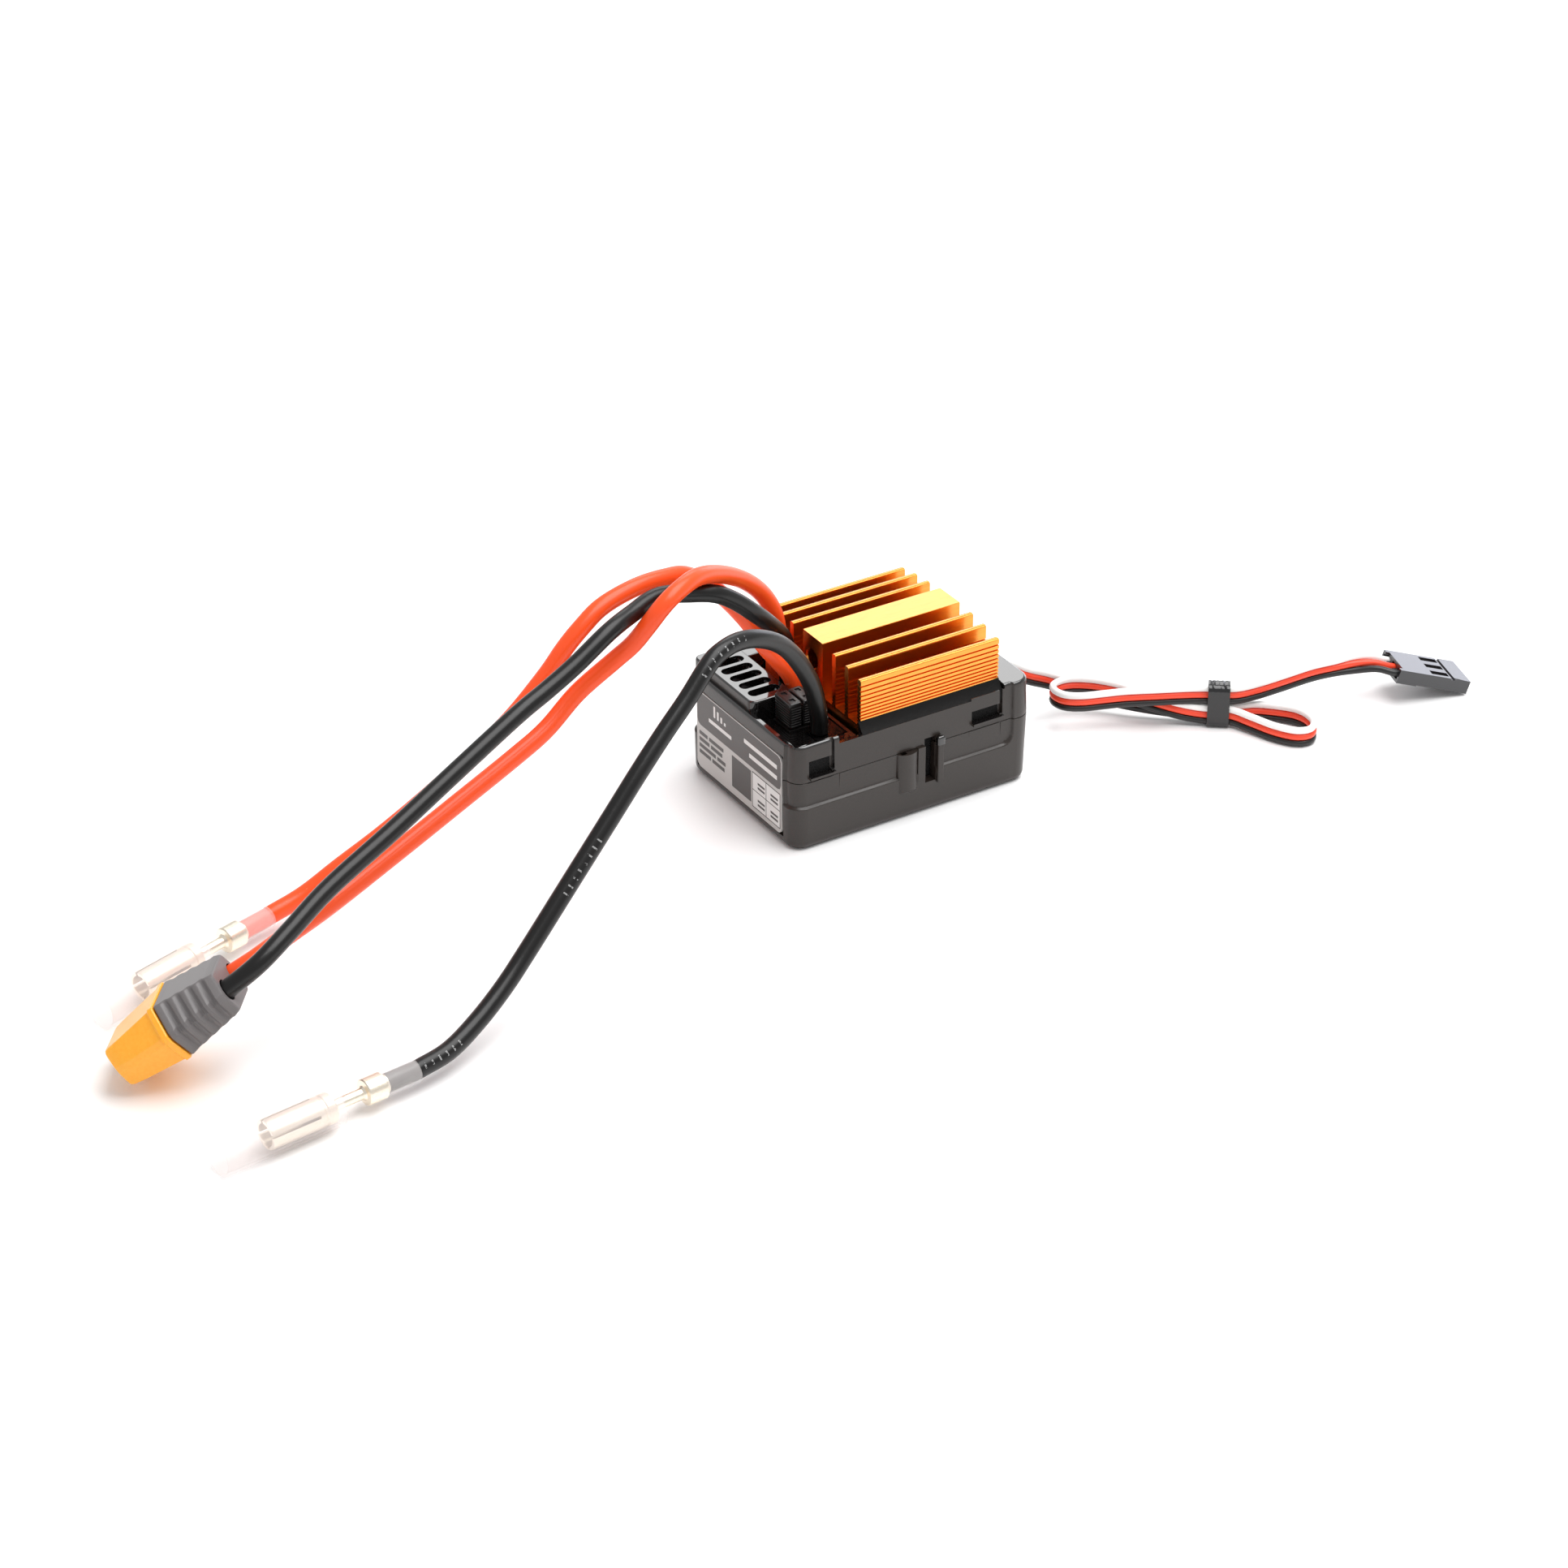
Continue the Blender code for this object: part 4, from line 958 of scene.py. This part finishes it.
# One slot is repeated down the grille box at an even pitch.
row_tree, row_in, row_out = geometry_tree(
    "row_of_copies",
    (
        ("Count", "NodeSocketInt", SLOT_COUNT), ("Pitch", "NodeSocketVector", (0, SLOT_PITCH, 0)),
        ("Material", "NodeSocketMaterial", None),
    ),
)
row_line = add_node(
    row_tree, "GeometryNodeMeshLine", {"mode": "OFFSET"},
    {"Count": row_in.outputs["Count"], "Offset": row_in.outputs["Pitch"]},
)
row_copies = add_node(
    row_tree, "GeometryNodeInstanceOnPoints", None,
    {"Points": row_line.outputs[0], "Instance": row_in.outputs["Geometry"]},
)
row_real = add_node(row_tree, "GeometryNodeRealizeInstances", None, {"Geometry": row_copies.outputs[0]})
row_painted = add_node(
    row_tree, "GeometryNodeSetMaterial", None,
    {"Geometry": row_real.outputs[0], "Material": row_in.outputs["Material"]},
)
row_tree.links.new(row_painted.outputs[0], row_out.inputs[0])
grille_slots = run_tree(
    grille_slots, row_tree, {"Count": SLOT_COUNT, "Pitch": (0.0, SLOT_PITCH, 0.0), "Material": moulded_abs}
)

DECK, ABOVE = 17.0, 24
deck_outline = [(-22.0, -15.4), (-9.6, -15.4), (-9.6, 11.6), (-14.3, 11.6), (-14.3, -2.2), (-22.0, -2.2)]
wire_gate = [
    (-16.2, -12.4), (-10.2, -12.4), (-10.2, 11.3), (-14.1, 11.3), (-14.1, -1.7), (-12.0, -1.7),
    (-12.0, -8.5), (-16.2, -8.5),
]
cover_cuts = (
    ("sink_gate", [((-9.6, 18.0), (-14.85, 15.05), (12, ABOVE))]),
    ("gutters", [((-9.6, 17.9), y, (16.5, ABOVE)) for y in ((-15.98, -14.6), (14.8, 15.98))]),
    ("front_slot", [((2.15, 4.3), (-18, -15.0), (12, 13.8))]),
    ("low_rims", [((-14.2, 11.3), (-20, -14.6), (18.0, ABOVE)), ((-8.9, 17.9), (14.9, 20), (18.2, ABOVE))]),
    ("latch_rim", [((11.2, 17.9), (-20, -14.6), (18.45, ABOVE))]),
    ("seats",
        [(*LABEL_SEAT, (12, 16.75)), (*LEAD_GATE, (12, 15.2)), ((-18.7, -12.7), (-8.0, -2.35), (14, 18))]),
)
window_ranges = [((a, b), beside(side, 20, 14.4), (c, d)) for a, b, c, d, side in windows]
tab_ranges = [((b, b + 0.55), beside(side, 20, 15.6), (c + 0.2, ABOVE)) for a, b, c, d, side in windows]
lip_ranges = [((a, b + 0.5), beside(side, 16.95, 15.8), (c - 0.45, c + 0.05)) for a, b, c, d, side in windows]
cover = cut_away(
    cover,
    [
        blocks("grille_inside", [((-21.1, -15.5), (-1.0, 15.2), (15.0, 19.8))]),
        grille_slots,
        settle("deck", standing(round_corners(deck_outline, 0.5), DECK, ABOVE)),
        *[blocks(name, ranges) for name, ranges in cover_cuts],
        settle("wire_gate", standing(wire_gate, 14, 18)),
        blocks("windows", window_ranges),
        blocks("tab_slots", tab_ranges),
    ],
    union=(
        rounded_box("grille_box", (-22.25, -14.3), (-2.2, 16.45), (16.0, 21.0), 1.3),
        blocks("lips", lip_ranges),
        rounded_box("bridge", (-15.0, -9.7), (11.7, 16.3), (16.0, 20.9), 0.5, 0.25),
    ),
    bevel=0.14,
    sharp_degrees=30,
)
# The top faces and the walls of the deck are polished, and the outer sides are not.
cover.data.materials.append(polished_abs)
for polygon in cover.data.polygons:
    middle = polygon.center / MM
    front_or_back = abs(middle.y) > 15.5 and polygon.normal.y * middle.y > 2
    left_or_right = abs(middle.x) > 22 and polygon.normal.x * middle.x > 2
    within = middle.z > 16.4 and not (front_or_back or left_or_right)
    if polygon.normal.z > 0.4 or within:
        polygon.material_index = 1
finish_piece(cover, "top_cover")

# ------------------------------------------------------------------ heat sink
# An aluminium extrusion, cut to length and anodised orange: three grooved fins, a wide block
# with a screw channel, and three more fins, under a gently crowned top.
SINK_X = (-9.1, 17.65)
FIN, BLOCK_WIDE, BLOCK_PLACE = 1.1, 6.0, 3
ROOT, SINK_FOOT, SINK_BACK = 18.6, 16.2, 14.7
GROOVE_DEPTH, GROOVE_PITCH, TIGHTEST_PITCH = 0.3, 0.9, 0.46
CHANNEL_Y, CHANNEL_Z = 0.4, 24.2
fins = (
    (-14.5, 27.1), (-10.7, 27.8), (-6.9, 28.2), (-2.9, 28.5), (6.0, 28.2), (9.8, 27.9), (13.6, 27.3),
)


def groove_heights(top, plain):
    """Groove heights down a fin face, from below a plain margin and closing up towards the root."""
    heights, z, pitch = [], top - plain, GROOVE_PITCH
    while z > ROOT + 0.25:
        heights.append(z)
        z -= pitch
        pitch = max(pitch * 0.94, TIGHTEST_PITCH)
    return heights


def fin_face(y, out, top, plain):
    """The points of a grooved face, downwards. out is -1 where the face looks towards -Y."""
    points = []
    for z in groove_heights(top, plain):
        deep = y - out * GROOVE_DEPTH
        points += [(y, z + 0.15), (deep, z + 0.08), (deep, z - 0.08), (y, z - 0.15)]
    return points


sink_outline = [(fins[0][0], SINK_FOOT)]
for k, (y, top) in enumerate(fins):
    is_block = k == BLOCK_PLACE
    far = y + (BLOCK_WIDE if is_block else FIN)
    soft = 0.12 if is_block else 0.34
    if k:
        sink_outline.append((y, ROOT))
    if not is_block:
        sink_outline += reversed(fin_face(y, -1, top, 1.1 if k == 0 else 2.6))
    sink_outline += [(y, top - soft), (y + soft * 0.3, top - soft * 0.3), (y + soft, top)]
    sink_outline += [(far - soft, top), (far - soft * 0.3, top - soft * 0.3), (far, top - soft)]
    if not is_block:
        sink_outline += fin_face(far, 1, top, 1.1 if k in (0, len(fins) - 1) else 2.6)
    if k < len(fins) - 1:
        sink_outline.append((far, ROOT))
sink_outline.append((SINK_BACK, SINK_FOOT))

# Anodised aluminium: a dyed metal under a clear oxide, with fine lines along the extrusion.
anodised = new_material("anodised_aluminium", "F09A33", 0.26, 1.0, Coat_Weight=0.8, Coat_Roughness=0.2)
tint(anodised, grain(anodised, 0.22, 0.01, (0.06, 1, 1)), "EB922A", "F4A239", 0.3, 0.7)
sink_bm = bmesh.new()
loft(sink_bm, [[(x, y, z) for y, z in sink_outline] for x in SINK_X])
channel_bm = bmesh.new()
loft(channel_bm, [
    [(x, y, z) for y, z in circle(CHANNEL_Y, CHANNEL_Z, radius, 32)]
    for x, radius in ((-10, 2.1), (-9.1, 1.9), (-8.8, 1.65), (3, 1.65))
])
sink = cut_away(
    settle("sink", sink_bm, anodised, 25),
    [settle("channel", channel_bm), blocks("channel_slot", [((-10, 3.2), (-0.1, 0.9), (21.3, CHANNEL_Z))])],
    sharp_degrees=25,
)
finish_piece(sink, "heat_sink")

# ------------------------------------------------------------------ dark fill round the heat sink
# A near-black, dull fill laid into the gutters along the outer fins, darker than the case plastic: painted
# shade for the gutter between the cover wall and each outer fin. It hides the foot of each outer fin.
# Near black with a weak reflection: painted shade for the shaded gutters.
gutter_shade_fill = new_material("gutter_painted_shade", "060505", 0.55, Specular_IOR_Level=0.2)
grain(gutter_shade_fill, 0.9, 0.05)
gutter_fill_bm = bmesh.new()
for edge, foot in ((-15.98, -14.4), (15.98, 14.6)):
    profile = [
        (edge, 16.4), (edge, 17.75), (edge * 0.6 + foot * 0.4, 18.3), (edge * 0.15 + foot * 0.85, 19.3),
        (foot, 19.7), (foot, 16.4),
    ]
    loft(gutter_fill_bm, [[(x, y, z) for y, z in profile] for x in (-9.5, 17.8)])
gutter_fill = settle("gutter_fill", gutter_fill_bm, gutter_shade_fill)
finish_piece(gutter_fill)

# ------------------------------------------------------------------ potting
# Black epoxy poured round the wires, filling their opening nearly to the deck.
# It sets glossy, with a slow ripple.
POTTING_TOP = DECK - 0.08
potting_outline = [
    (-15.9, -12.1), (-10.5, -12.1), (-10.5, 11.0), (-13.8, 11.0), (-13.8, -1.4), (-11.7, -1.4),
    (-11.7, -8.8), (-15.9, -8.8),
]
epoxy = new_material("black_epoxy", "0C0B0B", 0.12)
grain(epoxy, 1.3, 0.16, detail=2.0)
potting = settle("potting", standing(round_corners(potting_outline, 0.4), 14.9, POTTING_TOP), epoxy)
finish_piece(potting, "potting_compound")

# ------------------------------------------------------------------ jumpers
# Two small black caps side by side on their pins, each with moulded finger ribs.
# They pull straight up.
CAP_HALF, CAP_Y = 1.15, (-7.5, -2.6)
RIB_COUNT, RIB_START, RIB_PITCH, RIB_DEPTH = 8, 17.85, 0.46, 0.13
pin_places = (-6.32, -3.78)
jumper_black = new_material("black_moulded_pbt", "1D1B1B", 0.28)
grain(jumper_black, 0.3, 0.01)
cap_levels = [(17.5, 0.1), (17.62, 0.0)]
for k in range(RIB_COUNT):
    z = RIB_START + RIB_PITCH * k
    cap_levels += [(z, 0.0), (z + 0.08, RIB_DEPTH), (z + 0.2, RIB_DEPTH), (z + 0.28, 0.0)]
cap_levels += [(21.75, 0.0), (21.9, 0.06), (22.0, 0.22)]
for number, x in enumerate((-17.0, -14.4), 1):
    cap_rings = []
    for z, inset in cap_levels:
        outline = round_corners(rectangle((x - CAP_HALF, x + CAP_HALF), CAP_Y, inset), 0.3, 3)
        cap_rings.append([(p.x, p.y, z) for p in outline])
    cap_bm = bmesh.new()
    loft(cap_bm, cap_rings)
    cap = cut_away(
        settle(f"cap_{number}", cap_bm, jumper_black, 30),
        [
            blocks("pin_holes", [((x - 0.6, x + 0.6), (y - 0.6, y + 0.6), (16, 21.3)) for y in pin_places]),
            blocks("cap_top", [((x - 0.45, x + 0.45), (y - 0.5, y + 0.5), (21.78, 23)) for y in pin_places]),
        ],
        sharp_degrees=30,
    )
    finish_piece(cap, f"jumper_cap_{number}", f"jumper_cap_{number}")

# ------------------------------------------------------------------ rating label
# A printed polyester label on the left end: a dark band over a pale field. Its lettering
# is left out, and plain bars, one dark block and a ruled grid keep its layout.
LABEL_BACK, LABEL_FACE = -22.87, -23.2
PALE, DARK, LINE, WHITE = range(4)
inks = []
for name, code, roughness in (
    ("pale", "B9B6B3", 0.38), ("dark", "4A4543", 0.4), ("line", "45413F", 0.4), ("white", "DAD8D6", 0.4),
):
    inks.append(new_material(f"label_{name}_ink", code, roughness))
    grain(inks[-1], 0.4, 0.004)


def label_patch(bm, y, z, proud, radius, ink, steps=5):
    """A printed area of the label, a hair proud of what is under it. Y grows towards the back."""
    outline = round_corners(rectangle(y, z), radius, steps)
    before = len(bm.faces)
    loft(bm, [[(x, p.x, p.y) for p in outline] for x in (LABEL_BACK, LABEL_FACE - proud)])
    bm.faces.ensure_lookup_table()
    for face in bm.faces[before:]:
        face.material_index = ink


def inked(name, bm):
    """A label mesh with all four inks in its slots."""
    obj = settle(name, bm, inks[PALE])
    for ink in inks[1:]:
        obj.data.materials.append(ink)
    return obj


label_bm = bmesh.new()
label_patch(label_bm, (-13.0, 13.7), (2.0, 16.5), 0.0, 1.2, PALE)
label = inked("label", label_bm)
# The dark band, the white field of the grid and the dark block, then the grid's rules, the
# strokes in its cells, four lines of pale-field bars, and the bars on the dark band.
RULE, BAR = 0.16, 0.7
label_print = [((-12.8, 13.5), (10.1, 16.3), DARK), ((-12.5, -3.9), (2.9, 9.4), WHITE),
    ((-3.5, 2.5), (3.4, 9.3), LINE)]
label_print += [((-12.5, -3.9), (z, z + RULE), LINE) for z in (2.85, 6.1, 9.3)]
label_print += [((y, y + RULE), (2.85, 9.45), LINE) for y in (-12.6, -8.3, -4.05)]
label_print += [
    ((y, y + wide), (z, z + 0.42), LINE)
    for y, wide in ((-11.9, 2.3), (-7.8, 2.2)) for z in (3.7, 4.5, 6.9, 7.7)
]
for z, first, second in ((8.3, 2.6, 4.6), (7.1, 3.2, 3.6), (5.9, 5.2, 2.6), (4.7, 3.6, 3.9)):
    label_print.append(((12.9 - first, 12.9), (z, z + BAR), LINE))
    label_print.append(((12.4 - first - second, 12.4 - first), (z, z + BAR), LINE))
label_print += [((-11.6, -11.6 + wide), (z, z + 0.8), WHITE) for z, wide in ((13.6, 10.2), (11.6, 8.6))]
label_print.append(((2.6, 9.8), (12.0, 12.7), WHITE))
label_print += [((y, y + 0.55), (13.6, 14.2 + 0.5 * k), WHITE) for k, y in enumerate((4.4, 5.5, 6.6, 7.7))]
print_bm = bmesh.new()
for index, (y, z, ink) in enumerate(label_print):
    proud = 0.012 + 0.004 * (ink != DARK) + 0.004 * (index > 3)
    label_patch(print_bm, y, z, proud, 1.0 if ink == DARK else 0.08, ink, 2)
prints = inked("label_print", print_bm)
finish_piece(label, "rating_label")
finish_piece(prints)

# ------------------------------------------------------------------ inside the case
# What the grille and the gaps let through: the board, its chips, cans and pads, each in
# its own finish. The lead grommet and the jumper header are moulded like the case.


def refinish(material, *nodes):
    """Gives carried-over pieces their real finish."""
    for node in nodes:
        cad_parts[node].data.materials.clear()
        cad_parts[node].data.materials.append(material)


solder_mask = new_material("green_solder_mask", "0E4F2A", 0.3)
tint(solder_mask, grain(solder_mask, 0.5, 0.01), "0B4423", "125C32")
refinish(solder_mask, "circuit_board")
moulded_epoxy = new_material("moulded_epoxy", "202022", 0.55)
grain(moulded_epoxy, 0.12, 0.01)
refinish(moulded_epoxy, *[f"mosfet_{k}" for k in (1, 2, 3, 4)])
refinish(moulded_epoxy, "microcontroller", "bec_regulator", "bec_inductor")
silicone_pad = new_material("grey_silicone_pad", "9AA0A6", 0.6)
grain(silicone_pad, 0.3, 0.02)
refinish(silicone_pad, "thermal_pad")
drawn_can = new_material("drawn_aluminium_can", "C4C4C8", 0.3, 1.0)
grain(drawn_can, 0.3, 0.006, (1, 0.1, 1))
refinish(drawn_can, "capacitor_1", "capacitor_2")
led_epoxy = new_material("red_led_epoxy", "C0261C", 0.15)
grain(led_epoxy, 0.4, 0.005)
refinish(led_epoxy, "status_led")
refinish(jumper_black, "jumper_header")
refinish(moulded_abs, "lead_grommet")
